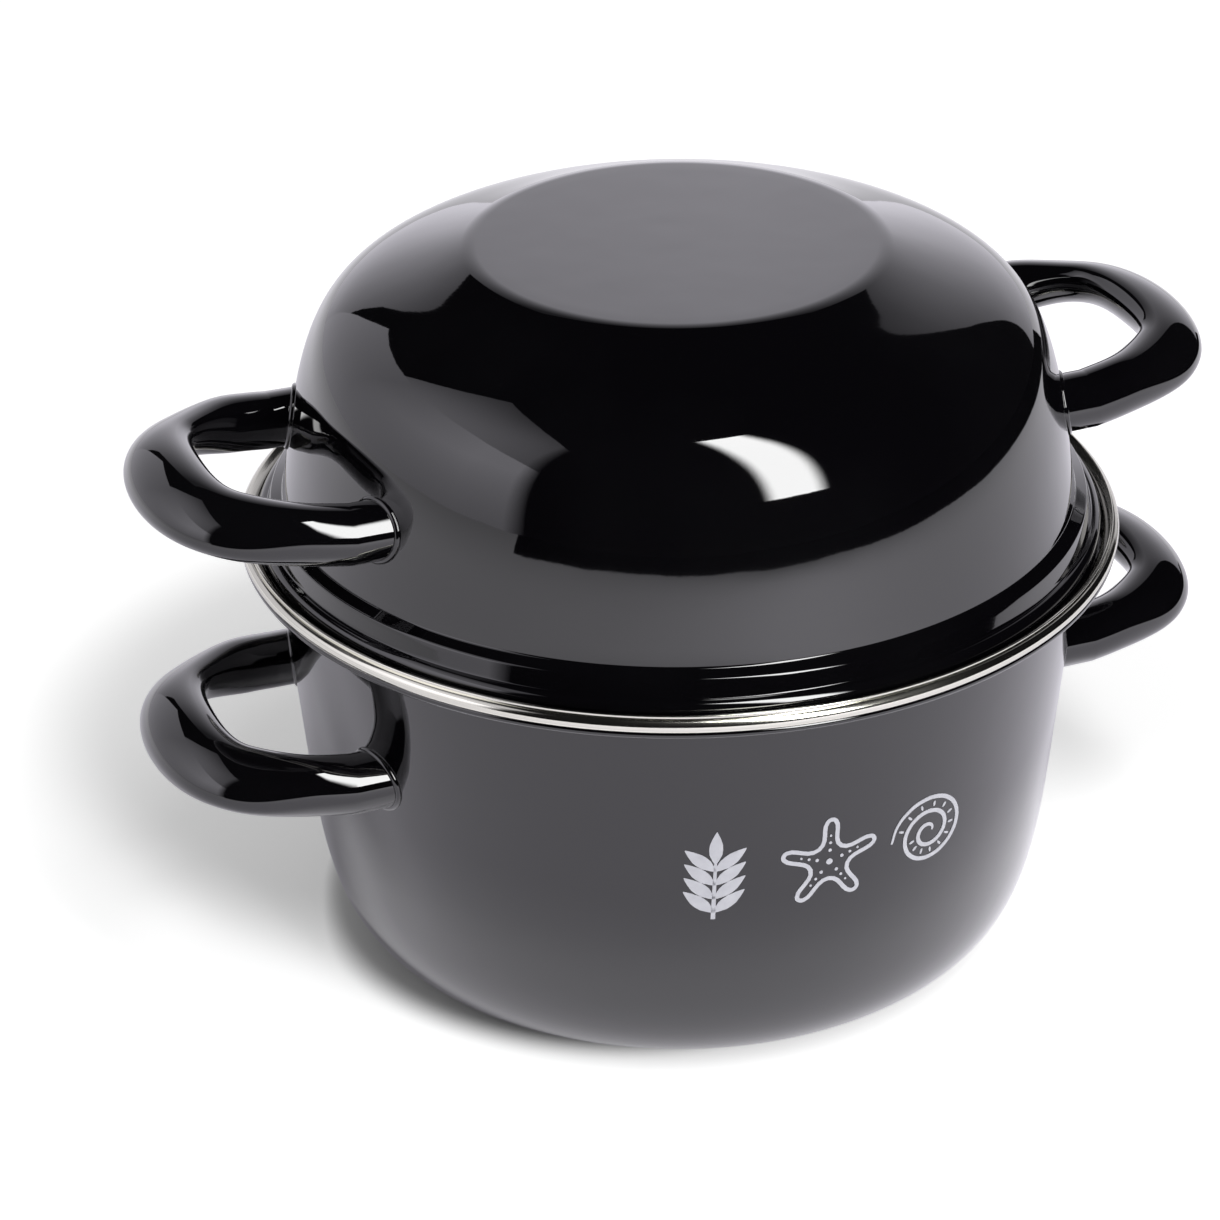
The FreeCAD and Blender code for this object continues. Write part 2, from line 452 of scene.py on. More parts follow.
@dataclass(frozen=True)
class NodeSheet:
    """A node tree with short calls to add and join nodes."""

    tree: bpy.types.NodeTree

    def add(self, kind: str, **settings: object) -> bpy.types.Node:
        """Adds a node.

        Args:
            kind: The node's type.
            settings: Its own settings.

        Returns:
            The node.
        """
        node = self.tree.nodes.new(kind)
        for key, value in settings.items():
            setattr(node, key, value)
        return node

    def join(self, source: Socket, target: Socket) -> None:
        """Links an output to an input."""
        self.tree.links.new(source, target)

    def math(self, operation: str, first: object, second: object = 0.0) -> Socket:
        """A Math node on sockets or numbers.

        Args:
            operation: Name of the operation.
            first: First socket or number.
            second: Second socket or number.

        Returns:
            The result's socket.
        """
        node = self.add("ShaderNodeMath", operation=operation)
        for value, socket in zip((first, second), node.inputs):
            if isinstance(value, Socket):
                self.join(value, socket)
            else:
                socket.default_value = value
        return node.outputs[0]

    def ramp(self, value: Socket, source: Pair, target: Pair, soft: bool = False) -> Socket:
        """Value carried from one range to another and held at its ends.

        Args:
            value: Socket with the value.
            source: Start and end of the range it is read in.
            target: What it becomes at the start and at the end.
            soft: Whether it eases in and out.

        Returns:
            The carried value.
        """
        node = self.add("ShaderNodeMapRange", interpolation_type="SMOOTHSTEP" if soft else "LINEAR")
        self.join(value, node.inputs["Value"])
        for name, number in zip(("From Min", "From Max", "To Min", "To Max"), (*source, *target)):
            node.inputs[name].default_value = number
        return node.outputs["Result"]

    def product(self, first: object, second: object) -> Socket:
        """Two sockets or numbers multiplied."""
        return self.math("MULTIPLY", first, second)

    def place(self, output: str = "Object") -> Socket:
        """Coordinates that the tree works in."""
        return self.add("ShaderNodeTexCoord").outputs[output]

    def parts(self, vector: Socket) -> tuple[Socket, ...]:
        """A vector's parts.

        Args:
            vector: The vector.

        Returns:
            Its three sockets.
        """
        node = self.add("ShaderNodeSeparateXYZ")
        self.join(vector, node.inputs[0])
        return tuple(node.outputs)

    def azimuth(self, across: Socket, deep: Socket) -> Socket:
        """Angle from +Y towards +X, in degrees."""
        return self.math("DEGREES", self.math("ARCTAN2", across, deep))

    def blend(self, share: Socket, first: object, second: object, kind: str = "MIX") -> Socket:
        """A mix of two colours or of two numbers.

        Args:
            share: Share of the second.
            first: First colour, number or socket.
            second: Second colour, number or socket.
            kind: How they are mixed.

        Returns:
            The mix.
        """
        numbers = isinstance(first, float) or isinstance(second, float)
        node = self.add("ShaderNodeMix", data_type="FLOAT" if numbers else "RGBA", blend_type=kind)
        self.join(share, node.inputs["Factor"])
        for name, value in (("A", first), ("B", second)):
            if isinstance(value, Socket):
                self.join(value, node.inputs[name])
            else:
                node.inputs[name].default_value = value if isinstance(value, float) else (*value, 1.0)
        return node.outputs["Result"]

    def noise(self, vector: Socket, scale: float, detail: float) -> Socket:
        """A noise texture.

        Args:
            vector: Where it is read.
            scale: How fine it is.
            detail: How many finer layers it has.

        Returns:
            Its value.
        """
        node = self.add("ShaderNodeTexNoise")
        self.join(vector, node.inputs["Vector"])
        node.inputs["Scale"].default_value = scale
        node.inputs["Detail"].default_value = detail
        return node.outputs["Fac"]


def new_group(name: str, inputs: dict[str, float], outputs: tuple[str, ...]) -> NodeSheet:
    """A shader node group with named number sockets.

    Args:
        name: Name of the effect.
        inputs: Default value of each input.
        outputs: Names of the outputs.

    Returns:
        The group's sheet, with its two ends added.
    """
    tree = bpy.data.node_groups.new(name, "ShaderNodeTree")
    for key, value in inputs.items():
        socket = tree.interface.new_socket(name=key, in_out="INPUT", socket_type="NodeSocketFloat")
        socket.default_value = value
    for key in outputs:
        tree.interface.new_socket(name=key, in_out="OUTPUT", socket_type="NodeSocketFloat")
    sheet = NodeSheet(tree)
    sheet.add("NodeGroupInput", name="in")
    sheet.add("NodeGroupOutput", name="out")
    return sheet


def finished_group(sheet: NodeSheet, **values: Socket) -> bpy.types.NodeTree:
    """Joins a group's outputs.

    Args:
        sheet: The group's sheet.
        values: What each output gives.

    Returns:
        The group.
    """
    for name, value in values.items():
        sheet.join(value, sheet.tree.nodes["out"].inputs[name])
    return sheet.tree


def flow_group(wave_scale: float = 70.0, grain_scale: float = 900.0) -> bpy.types.NodeTree:
    """Effect: the faint waviness and grain that a glassy coat keeps from the kiln.

    Args:
        wave_scale: How fine the waves are.
        grain_scale: How fine the grain is.

    Returns:
        The group.
    """
    sheet = new_group("glaze_flow", {"Wave": 1.0, "Grain": 1.0}, ("Height",))
    entry = sheet.tree.nodes["in"].outputs
    place = sheet.place()
    wave = sheet.product(sheet.noise(place, wave_scale, 1.0), entry["Wave"])
    grain = sheet.product(sheet.noise(place, grain_scale, 2.0), entry["Grain"])
    return finished_group(sheet, Height=sheet.math("ADD", wave, grain))


def handling_group(cloth_scale: float = 14.0, cloth_range: Pair = (0.45, 0.75), speck_scale: float = 260.0,
                   speck_size: float = 0.07) -> bpy.types.NodeTree:
    """Effect: where hands, cloths and dust have dulled a polish, from 0 to 1.

    Args:
        cloth_scale: How fine the marks of the cloth are.
        cloth_range: Between which levels of the noise the marks grow.
        speck_scale: How many specks there are.
        speck_size: Radius of a speck, as a share of the room it has.

    Returns:
        The group.
    """
    sheet = new_group("handling", {"Amount": 1.0, "Specks": 1.0}, ("Dulling",))
    entry = sheet.tree.nodes["in"].outputs
    place = sheet.place()
    cloth = sheet.ramp(sheet.noise(place, cloth_scale, 4.0), cloth_range, (0.0, 1.0))
    dots = sheet.add("ShaderNodeTexVoronoi")
    sheet.join(place, dots.inputs["Vector"])
    dots.inputs["Scale"].default_value = speck_scale
    speck = sheet.math("LESS_THAN", dots.outputs["Distance"], speck_size)
    marks = sheet.product(cloth, entry["Amount"])
    return finished_group(sheet, Dulling=sheet.math("ADD", marks, sheet.product(speck, entry["Specks"])))


def ring_grain_group(across: float = 40.0, around: float = 0.02,
                     fineness: float = 220.0) -> bpy.types.NodeTree:
    """Effect: fine lines that run round the axis, as a polishing wheel leaves them.

    Args:
        across: How fine the lines are across the band.
        around: How soon they change along it.
        fineness: How fine the whole pattern is.

    Returns:
        The group.
    """
    sheet = new_group("ring_grain", {"Lines": 1.0}, ("Height", "Mask"))
    x, y, z = sheet.parts(sheet.place())
    flat = sheet.math("SQRT", sheet.math("ADD", sheet.product(x, x), sheet.product(y, y)))
    turn = sheet.math("ARCTAN2", y, x)
    unrolled = sheet.add("ShaderNodeCombineXYZ")
    for value, scale, socket in zip((flat, turn, z), (across, around, across), unrolled.inputs):
        sheet.join(sheet.product(value, scale), socket)
    lines = sheet.noise(unrolled.outputs[0], fineness, 3.0)
    height = sheet.product(lines, sheet.tree.nodes["in"].outputs["Lines"])
    return finished_group(sheet, Height=height, Mask=lines)


@dataclass(frozen=True)
class Effects:
    """The shared effects, built once."""

    flow: bpy.types.NodeTree
    handling: bpy.types.NodeTree
    ring_grain: bpy.types.NodeTree


def placed(sheet: NodeSheet, tree: bpy.types.NodeTree, **values: float) -> bpy.types.Node:
    """Puts a shared effect into a material.

    Args:
        sheet: The material's sheet.
        tree: The effect.
        values: Its values there.

    Returns:
        The effect's node.
    """
    node = sheet.add("ShaderNodeGroup", node_tree=tree)
    for key, value in values.items():
        node.inputs[key].default_value = value
    return node


def new_material(name: str) -> tuple[Finish, NodeSheet, bpy.types.Node]:
    """A material with nodes.

    Args:
        name: Its name.

    Returns:
        The material, its sheet and its surface shader.
    """
    material = bpy.data.materials.new(name)
    material.use_nodes = True
    sheet = NodeSheet(material.node_tree)
    return material, sheet, material.node_tree.nodes["Principled BSDF"]


def bumped(sheet: NodeSheet, height: Socket, depth: float, surface: bpy.types.Node) -> None:
    """Feeds a height into a surface's normal.

    Args:
        sheet: The material's sheet.
        height: The height, from 0 to 1.
        depth: What a height of 1 is, in metres.
        surface: The surface shader.
    """
    bump = sheet.add("ShaderNodeBump")
    bump.inputs["Strength"].default_value = 1.0
    bump.inputs["Distance"].default_value = depth
    sheet.join(height, bump.inputs["Height"])
    sheet.join(bump.outputs["Normal"], surface.inputs["Normal"])
    if surface.inputs["Coat Weight"].default_value > 0:
        sheet.join(bump.outputs["Normal"], surface.inputs["Coat Normal"])


@dataclass(frozen=True)
class Enamel:
    """Black vitreous enamel: a deep glassy coat on steel."""

    name: str = "black_enamel"
    colour: Triple = (0.0014, 0.0012, 0.0018)
    speck_colour: Triple = (0.004, 0.004, 0.0045)
    glassiness: float = 1.5
    polish: float = 0.03
    dulled: float = 0.07
    wave_depth: float = 0.045 * MM
    wave: float = 1.0
    grain: float = 0.03
    cloth_marks: float = 0.6
    specks: float = 0.5

    def material(self, effects: Effects) -> Finish:
        """Builds the finish.

        Args:
            effects: The shared effects.

        Returns:
            The material.
        """
        material, sheet, surface = new_material(self.name)
        handling = placed(sheet, effects.handling, Amount=self.cloth_marks, Specks=self.specks)
        dulling = handling.outputs["Dulling"]
        sheet.join(sheet.blend(dulling, self.colour, self.speck_colour), surface.inputs["Base Color"])
        sheet.join(sheet.ramp(dulling, (0.0, 1.0), (self.polish, self.dulled)), surface.inputs["Roughness"])
        surface.inputs["IOR"].default_value = self.glassiness
        surface.inputs["Coat Weight"].default_value = 1.0
        surface.inputs["Coat Roughness"].default_value = self.polish
        surface.inputs["Coat IOR"].default_value = self.glassiness
        flow = placed(sheet, effects.flow, Wave=self.wave, Grain=self.grain)
        bumped(sheet, flow.outputs["Height"], self.wave_depth, surface)
        return material


@dataclass(frozen=True)
class PolishedSteel:
    """Bright rim steel with the faint lines of a polishing wheel."""

    name: str = "polished_steel"
    bright: Triple = (0.90, 0.89, 0.80)
    dark: Triple = (0.78, 0.77, 0.69)
    polish: float = 0.10
    dulled: float = 0.24
    line_depth: float = 0.004 * MM
    cloth_marks: float = 0.8
    specks: float = 0.2

    def material(self, effects: Effects) -> Finish:
        """Builds the finish.

        Args:
            effects: The shared effects.

        Returns:
            The material.
        """
        material, sheet, surface = new_material(self.name)
        lines = placed(sheet, effects.ring_grain, Lines=1.0)
        sheet.join(sheet.blend(lines.outputs["Mask"], self.dark, self.bright), surface.inputs["Base Color"])
        handling = placed(sheet, effects.handling, Amount=self.cloth_marks, Specks=self.specks)
        roughness = sheet.ramp(handling.outputs["Dulling"], (0.0, 1.0), (self.polish, self.dulled))
        sheet.join(roughness, surface.inputs["Roughness"])
        surface.inputs["Metallic"].default_value = 1.0
        bumped(sheet, lines.outputs["Height"], self.line_depth, surface)
        return material


@dataclass(frozen=True)
class FiredPrint:
    """White enamel print, a little uneven where the black shows through."""

    name: str = "white_enamel"
    full: Triple = (0.62, 0.62, 0.67)
    thin: Triple = (0.47, 0.47, 0.52)
    glassiness: float = 1.5
    polish: float = 0.12
    dulled: float = 0.3
    grain_depth: float = 0.01 * MM
    wave: float = 0.3
    cover_scale: float = 420.0
    cloth_marks: float = 0.7

    def material(self, effects: Effects) -> Finish:
        """Builds the finish.

        Args:
            effects: The shared effects.

        Returns:
            The material.
        """
        material, sheet, surface = new_material(self.name)
        cover = sheet.noise(sheet.place(), self.cover_scale, 3.0)
        sheet.join(sheet.blend(cover, self.thin, self.full), surface.inputs["Base Color"])
        handling = placed(sheet, effects.handling, Amount=self.cloth_marks, Specks=0.0)
        roughness = sheet.ramp(handling.outputs["Dulling"], (0.0, 1.0), (self.polish, self.dulled))
        sheet.join(roughness, surface.inputs["Roughness"])
        surface.inputs["IOR"].default_value = self.glassiness
        flow = placed(sheet, effects.flow, Wave=self.wave, Grain=1.0)
        bumped(sheet, flow.outputs["Height"], self.grain_depth, surface)
        return material


# Pot, rim and lid


@dataclass
class SteelRim:
    """Round polished band with a low lip that grips the edge of the pot's flange."""

    radius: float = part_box("pot_rim")[1].x
    height: float = 114.5 * MM
    bead: float = 2.1 * MM
    slit: float = 1.2 * MM
    slit_depth: float = 1.89 * MM
    lip: float = 0.25 * MM
    band_round: float = 1.9 * MM
    band_lift: float = 0.85 * MM
    band_start: float = 64.0
    band_end: float = -50.0
    lip_inset: float = 1.55 * MM
    lip_height: float = 3.45 * MM
    lip_round: float = 0.25 * MM
    lip_width: float = 0.6 * MM
    roll: float = 1.0 * MM
    roll_inset: float = 0.4 * MM
    roll_drop: float = 0.25 * MM
    crisp_angle: float = 50.0

    @property
    def inner(self) -> float:
        """Radius of the band's inner side."""
        return self.radius - 2 * self.bead

    def section(self) -> list[Vector]:
        """Section of the band, with a slit at its inner side where the flange goes in.

        Returns:
            The closed section's points.
        """
        middle = Vector((self.radius - self.band_round, self.height + self.band_lift))
        band = arc_points(middle, self.band_round, self.band_start, self.band_end, 28)
        inside = self.inner + self.lip
        lip_outside = self.radius - self.lip_inset
        lip_top = self.height + self.lip_height
        shoulder = Vector((inside, self.height + self.bead))
        lip_back = Vector((lip_outside - self.lip_width, lip_top))
        lip_front = Vector((lip_outside, lip_top))
        lip_foot = Vector((lip_outside, band[0].y))
        foot = Vector((inside, band[-1].y))
        depth = self.inner + self.slit_depth
        mouth = [Vector((radius, self.height + side * self.slit / 2))
                 for radius, side in ((inside, -1), (depth, -1), (depth, 1), (inside, 1))]
        return chained(
            [mouth[3]],
            corner_points(mouth[3], shoulder, lip_back, self.lip_round, 4),
            corner_points(shoulder, lip_back, lip_front, self.lip_round, 5),
            corner_points(lip_back, lip_front, lip_foot, self.lip_round, 6),
            run_points(lip_front - Vector((0, self.lip_round)), lip_foot, 4),
            band,
            [foot],
            mouth[:3],
        )

    def edge_roll(self, enamel: Finish) -> Piece:
        """Spins the enamelled edge of the pot that shows below the band.

        Args:
            enamel: The pot's finish.

        Returns:
            The edge.
        """
        middle = Vector((self.radius - self.roll_inset - self.roll, self.height - self.roll_drop - self.roll))
        roll = lathe("pot_edge_roll", arc_points(middle, self.roll, 360, 0, 32)[:-1], closed=True)
        smooth(roll, self.crisp_angle)
        finish_piece(roll, Slot.ENAMEL, enamel)
        return roll

    def build(self, steel: Finish) -> Piece:
        """Spins the section and polishes it.

        Args:
            steel: Its finish.

        Returns:
            The band.
        """
        band = lathe("pot_rim_band", self.section(), closed=True)
        smooth(band, self.crisp_angle)
        finish_piece(band, Slot.STEEL, steel, "pot_rim")
        return band


@dataclass
class PotShell:
    """Deep pressed pot with a rounded heel, a straight wall and a flat flange."""

    rim: SteelRim
    sheet: float = 1.2 * MM
    rim_grip: float = 2.4 * MM
    rim_overhang: float = 8.6 * MM
    flange_fillet: float = 1.5 * MM
    wall_taper: float = 6.2 * MM
    knee_height: float = 49.0 * MM
    knee_pull: float = 41.5 * MM
    heel_width: float = 33.2 * MM
    base_lift: float = 10.0
    base_pull: float = 23.8 * MM
    base_soft: float = 1.5 * MM

    @property
    def wall_top(self) -> Vector:
        """Place where the wall meets the flange's underside."""
        return Vector((self.rim.radius - self.rim_overhang, self.rim.height - self.sheet / 2))

    @property
    def knee(self) -> Vector:
        """Place where the straight wall ends."""
        return Vector((self.wall_top.x - self.wall_taper, self.knee_height))

    def outline(self) -> list[Vector]:
        """Outer profile of the pot.

        Returns:
            Its points, from the middle of the base to the edge of the flange.
        """
        base_edge = Vector((self.knee.x - self.heel_width, 0))
        wall_run = (self.wall_top - self.knee).normalized()
        flange_end = Vector((self.rim.inner + self.rim_grip, self.wall_top.y))
        heel = curve_points(
            base_edge, heading(self.base_lift) * self.base_pull, self.knee, wall_run * -self.knee_pull, 40)
        fillet = corner_points(self.knee, self.wall_top, flange_end, self.flange_fillet, 8)
        return chained(
            softened(run_points(Vector((0, 0)), base_edge, 8), heel, self.base_soft, 5),
            run_points(self.knee, fillet[0], 10),
            fillet,
            run_points(fillet[-1], flange_end, 4),
        )

    def build(self, enamel: Finish) -> Piece:
        """Spins the outer skin and gives it the sheet's thickness inwards.

        Args:
            enamel: Its finish.

        Returns:
            The shell.
        """
        pot = lathe("pot_body", self.outline())
        face_out(pot, -1)
        thicken(pot, self.sheet)
        smooth(pot)
        finish_piece(pot, Slot.ENAMEL, enamel, "pot_shell")
        return pot


@dataclass
class LidShell:
    """Domed lid with a flat top, a narrow brim, a steep flange and a rolled edge."""

    rim: SteelRim
    sheet: float = 1.2 * MM
    top_height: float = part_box("lid_shell")[1].z
    seat_gap: float = 0.5 * MM
    curl_radius: float = 2.1 * MM
    curl_opening: float = 85.0
    flange_slope: float = 74.0
    crease_fillet: float = 0.35 * MM
    crease_angle: float = 100.0
    brim_width: float = 3.05 * MM
    brim_slope: float = 24.0
    brim_fillet: float = 0.8 * MM
    skirt_inset: float = 4.7 * MM
    skirt_fillet: float = 0.7 * MM
    skirt_taper: float = 2.7 * MM
    shoulder_height: float = 26.9 * MM
    shoulder_pull: float = 40.0 * MM
    shoulder_width: float = 46.2 * MM
    dome_drop: float = 22.7
    dome_pull: float = 33.3 * MM
    top_soft: float = 2.0 * MM

    @property
    def seat(self) -> float:
        """Height of the pot's flange, on which the lid rests."""
        return self.rim.height + self.sheet / 2

    @property
    def curl(self) -> Vector:
        """Middle of the rolled edge."""
        return Vector((self.rim.inner - self.seat_gap - self.curl_radius, self.seat + self.curl_radius))

    @property
    def shoulder(self) -> Vector:
        """Place where the dome ends and the straight skirt starts."""
        inset = self.skirt_inset + self.skirt_taper
        return Vector((self.curl.x - inset, self.seat + self.shoulder_height))

    def outline(self) -> list[Vector]:
        """Outer profile of the lid.

        Returns:
            Its points, from the middle of the top to the end of the rolled edge.
        """
        curl = self.curl
        flange_end = curl + heading(self.crease_angle) * self.curl_radius
        foot_radius = curl.x - self.skirt_inset
        brim_radius = foot_radius + self.brim_width
        flange_rise = (flange_end.x - brim_radius) * math.tan(math.radians(self.flange_slope))
        brim = Vector((brim_radius, flange_end.y + flange_rise))
        foot = Vector((foot_radius, brim.y + self.brim_width * math.tan(math.radians(self.brim_slope))))
        top_edge = Vector((self.shoulder.x - self.shoulder_width, self.top_height))
        skirt_run = (foot - self.shoulder).normalized()
        dome_run = heading(-self.dome_drop) * self.dome_pull
        dome = curve_points(top_edge, dome_run, self.shoulder, skirt_run * -self.shoulder_pull, 48)
        foot_fillet = corner_points(self.shoulder, foot, brim, self.skirt_fillet, 10)
        brim_fillet = corner_points(foot, brim, flange_end, self.brim_fillet, 10)
        roll_end = self.crease_angle - (360 - self.curl_opening)
        roll = arc_points(curl, self.curl_radius, self.crease_angle, roll_end, 32)
        flange = brim_fillet + run_points(brim_fillet[-1], flange_end, 5)[1:]
        return chained(
            softened(run_points(Vector((0, self.top_height)), top_edge, 8), dome, self.top_soft, 8),
            run_points(self.shoulder, foot_fillet[0], 4),
            foot_fillet,
            softened(flange, roll, self.crease_fillet, 5),
        )

    def build(self, enamel: Finish) -> Piece:
        """Spins the outer skin and gives it the sheet's thickness inwards.

        Args:
            enamel: Its finish.

        Returns:
            The shell.
        """
        lid = lathe("lid_dome", self.outline())
        face_out(lid, 1)
        thicken(lid, self.sheet)
        smooth(lid)
        finish_piece(lid, Slot.ENAMEL, enamel, "lid_shell")
        return lid


# Handles


def eased(share: float) -> float:
    """Smooth step from 0 to 1."""
    return share * share * (3 - 2 * share)


def slopes_through(points: list[Vector]) -> list[Vector]:
    """Slopes of the smooth line through evenly timed points.

    Args:
        points: Points that the line passes.

    Returns:
        The line's slope at each point, per step in time.
    """
    count = len(points)
    system = numpy.zeros((count, count))
    wanted = numpy.zeros((count, 3))
    end_weights = (-11 / 6, 3.0, -1.5, 1 / 3)
    system[0, 0] = system[-1, -1] = 1.0
    wanted[0] = sum((points[index] * weight for index, weight in enumerate(end_weights)), Vector())
    wanted[-1] = -sum((points[-1 - index] * weight for index, weight in enumerate(end_weights)), Vector())
    for index in range(1, count - 1):
        system[index, index - 1:index + 2] = (1, 4, 1)
        wanted[index] = 3 * (points[index + 1] - points[index - 1])
    return [Vector(row) for row in numpy.linalg.solve(system, wanted)]


@dataclass
class HandleLoop:
    """Loop of flattened tube, welded to a wall at both ends.

    Places along the loop are given inwards from the middle of the grip.
    """

    owner: str
    root: float
    reach: float
    height: float
    tilt: float
    root_span: float = 34.7 * MM
    leg_depth: float = 29.1 * MM
    leg_span: float = 33.2 * MM
    bend_depth: float = 15.7 * MM
    bend_span: float = 29.5 * MM
    grip_depth: float = 3.9 * MM
    grip_span: float = 19.7 * MM
    leg_size: Pair = (7.6 * MM, 7.3 * MM)
    bend_size: Pair = (8.8 * MM, 5.4 * MM)
    grip_size: Pair = (9.8 * MM, 6.4 * MM)
    section_lean: float = 36.6
    section_steps: int = 56
    rings: int = 121
    measure_steps: int = 40
    wall_band: Pair = (1.5, 3.0)
    side_margin: float = 1.1
    root_clearance: float = 2.5 * MM
    root_reach: float = 0.5 * MM
    weld_bead: float = 0.9 * MM
    crisp_angle: float = 60.0
    section_times: Triple = (1.2, 2.6, 4.0)

    def stops(self) -> list[Vector]:
        """Places that the centre line passes.

        Returns:
            The places in plan, from one root to the other.
        """
        half = [
            Vector((self.root, self.root_span, 0)),
            Vector((self.reach - self.leg_depth, self.leg_span, 0)),
            Vector((self.reach - self.bend_depth, self.bend_span, 0)),
            Vector((self.reach - self.grip_depth, self.grip_span, 0)),
        ]
        mirrored = [Vector((point.x, -point.y, 0)) for point in reversed(half)]
        return half + [Vector((self.reach, 0, 0))] + mirrored

    def guide(self) -> Piece:
        """Draws the centre line that the tube is bent along.

        Returns:
            The line.
        """
        stops = self.stops()
        slopes = slopes_through(stops)
        deselect_all()
        bpy.ops.curve.primitive_bezier_curve_add(location=(0, 0, 0))
        line = named(f"{self.owner}_handle_line")
        line.data.dimensions = "2D"
        line.data.resolution_u = 64
        spline = line.data.splines[0]
        spline.bezier_points.add(len(stops) - len(spline.bezier_points))
        for knot, stop, slope in zip(spline.bezier_points, stops, slopes):
            knot.handle_left_type = knot.handle_right_type = "FREE"
            knot.co = stop
            knot.handle_left = stop - slope / 3
            knot.handle_right = stop + slope / 3
        return line

    def travelled(self) -> list[float]:
        """Measures the centre line at even times.

        Returns:
            The length travelled at each ring of the tube.
        """
        stops = self.stops()
        slopes = slopes_through(stops)
        fine = self.measure_steps
        spans = (len(stops) - 1) * fine
        lengths = [0.0]
        last = stops[0]
        for index in range(1, spans + 1):
            span = min((index - 1) // fine, len(stops) - 2)
            share = index / fine - span
            point = (
                stops[span] * (2 * share**3 - 3 * share**2 + 1)
                + slopes[span] * (share**3 - 2 * share**2 + share)
                + stops[span + 1] * (3 * share**2 - 2 * share**3)
                + slopes[span + 1] * (share**3 - share**2)
            )
            lengths.append(lengths[-1] + (point - last).length)
            last = point
        times = [spans * index / (self.rings - 1) for index in range(self.rings)]
        return [float(numpy.interp(time, range(spans + 1), lengths)) for time in times]

    def section(self, from_root: float) -> Pair:
        """Half width and half thickness of the tube.

        Args:
            from_root: Time from the root, 0, to the grip's middle, 4.

        Returns:
            The two, in metres.
        """
        leg_end, bend_middle, grip_middle = self.section_times
        if from_root <= leg_end:
            return self.leg_size
        if from_root <= bend_middle:
            low, high, start, end = self.leg_size, self.bend_size, leg_end, bend_middle
        else:
            low, high, start, end = self.bend_size, self.grip_size, bend_middle, grip_middle
        share = eased((from_root - start) / (end - start))
        return (low[0] + (high[0] - low[0]) * share, low[1] + (high[1] - low[1]) * share)

    def straight_tube(self) -> Piece:
        """The tube before it is bent: rings extruded along X, each scaled to its section.

        Returns:
            The tube.
        """
        places = self.travelled()
        half_way = (len(self.stops()) - 1) / 2
        width, thickness = self.section(0.0)
        deselect_all()
        bpy.ops.mesh.primitive_circle_add(
            vertices=self.section_steps, radius=1.0, rotation=(0, math.pi / 2, 0), location=(places[0], 0, 0))
        tube = named(f"{self.owner}_handle_tube")
        settle(tube)
        edit(tube, "EDGE")
        bpy.ops.transform.resize(value=(1, width, thickness))
        for index in range(1, self.rings):
            time = 2 * half_way * index / (self.rings - 1)
            wider, thicker = self.section(half_way - abs(time - half_way))
            step = places[index] - places[index - 1]
            bpy.ops.mesh.extrude_region_move(TRANSFORM_OT_translate={"value": (step, 0, 0)})
            bpy.ops.transform.resize(value=(1, wider / width, thicker / thickness))
            width, thickness = wider, thicker
        close()
        tube.rotation_euler.x = -math.radians(self.section_lean)
        settle(tube)
        return tube

    def placement(self, side: Side) -> Matrix:
        """From the plan of the loop to its tilted place on the pot.

        Args:
            side: The side it is placed on.

        Returns:
            The matrix.
        """
        pivot = Matrix.Translation((self.root, 0, 0))
        tilted = pivot @ Matrix.Rotation(-math.radians(self.tilt), 4, "Y") @ pivot.inverted()
        turned = Matrix.Rotation(math.radians(side.value), 4, "Z")
        return turned @ Matrix.Translation((0, 0, self.height)) @ tilted

    def build(self, wall: Piece, enamel: Finish) -> list[Piece]:
        """Builds the right loop against its wall, and its turned copy on the left.

        Args:
            wall: The shell that carries the loops.
            enamel: The finish.

        Returns:
            The two loops.
        """
        tube = self.straight_tube()
        line = self.guide()
        bend = tube.modifiers.new("bend", "CURVE")
        bend.object = line
        bend.deform_axis = "POS_X"
        apply_modifiers(tube)
        remove(line)
        tube.matrix_world = self.placement(Side.RIGHT)
        settle(tube)
        self.trim(tube, wall)
        loop = joined(f"{self.owner}_handle_loop_right", [tube, self.welds(tube)])
        smooth(loop, self.crisp_angle)
        pick(loop)
        bpy.ops.object.duplicate()
        twin = named(f"{self.owner}_handle_loop_left")
        twin.matrix_world = Matrix.Rotation(math.radians(Side.LEFT.value), 4, "Z")
        settle(twin)
        finish_piece(loop, Slot.ENAMEL, enamel, f"{self.owner}_handle_right")
        finish_piece(twin, Slot.ENAMEL, enamel, f"{self.owner}_handle_left")
        return [loop, twin]

    def trim(self, tube: Piece, wall: Piece) -> None:
        """Cuts the legs off a little before the wall and pulls their ends onto it.

        Args:
            tube: The bent tube, in its place.
            wall: The shell that carries it.
        """
        lifted = self.placement(Side.RIGHT)
        start = lifted @ Vector((self.clear_of_wall(wall), 0, 0))
        along = (lifted.to_3x3() @ Vector((1, 0, 0))).normalized()
        edit(tube, "EDGE")
        bpy.ops.mesh.bisect(plane_co=start, plane_no=along, clear_inner=True, threshold=1e-7)
        pick_open_edges(tube)
        bpy.ops.mesh.extrude_region_move(TRANSFORM_OT_translate={"value": tuple(-along * self.root_reach)})
        close()
        ends = tube.vertex_groups.new(name="ends")
        ends.add([vertex.index for vertex in tube.data.vertices if vertex.select], 1.0, "REPLACE")
        press_onto(tube, wall, "x", ahead=False, part=ends.name)

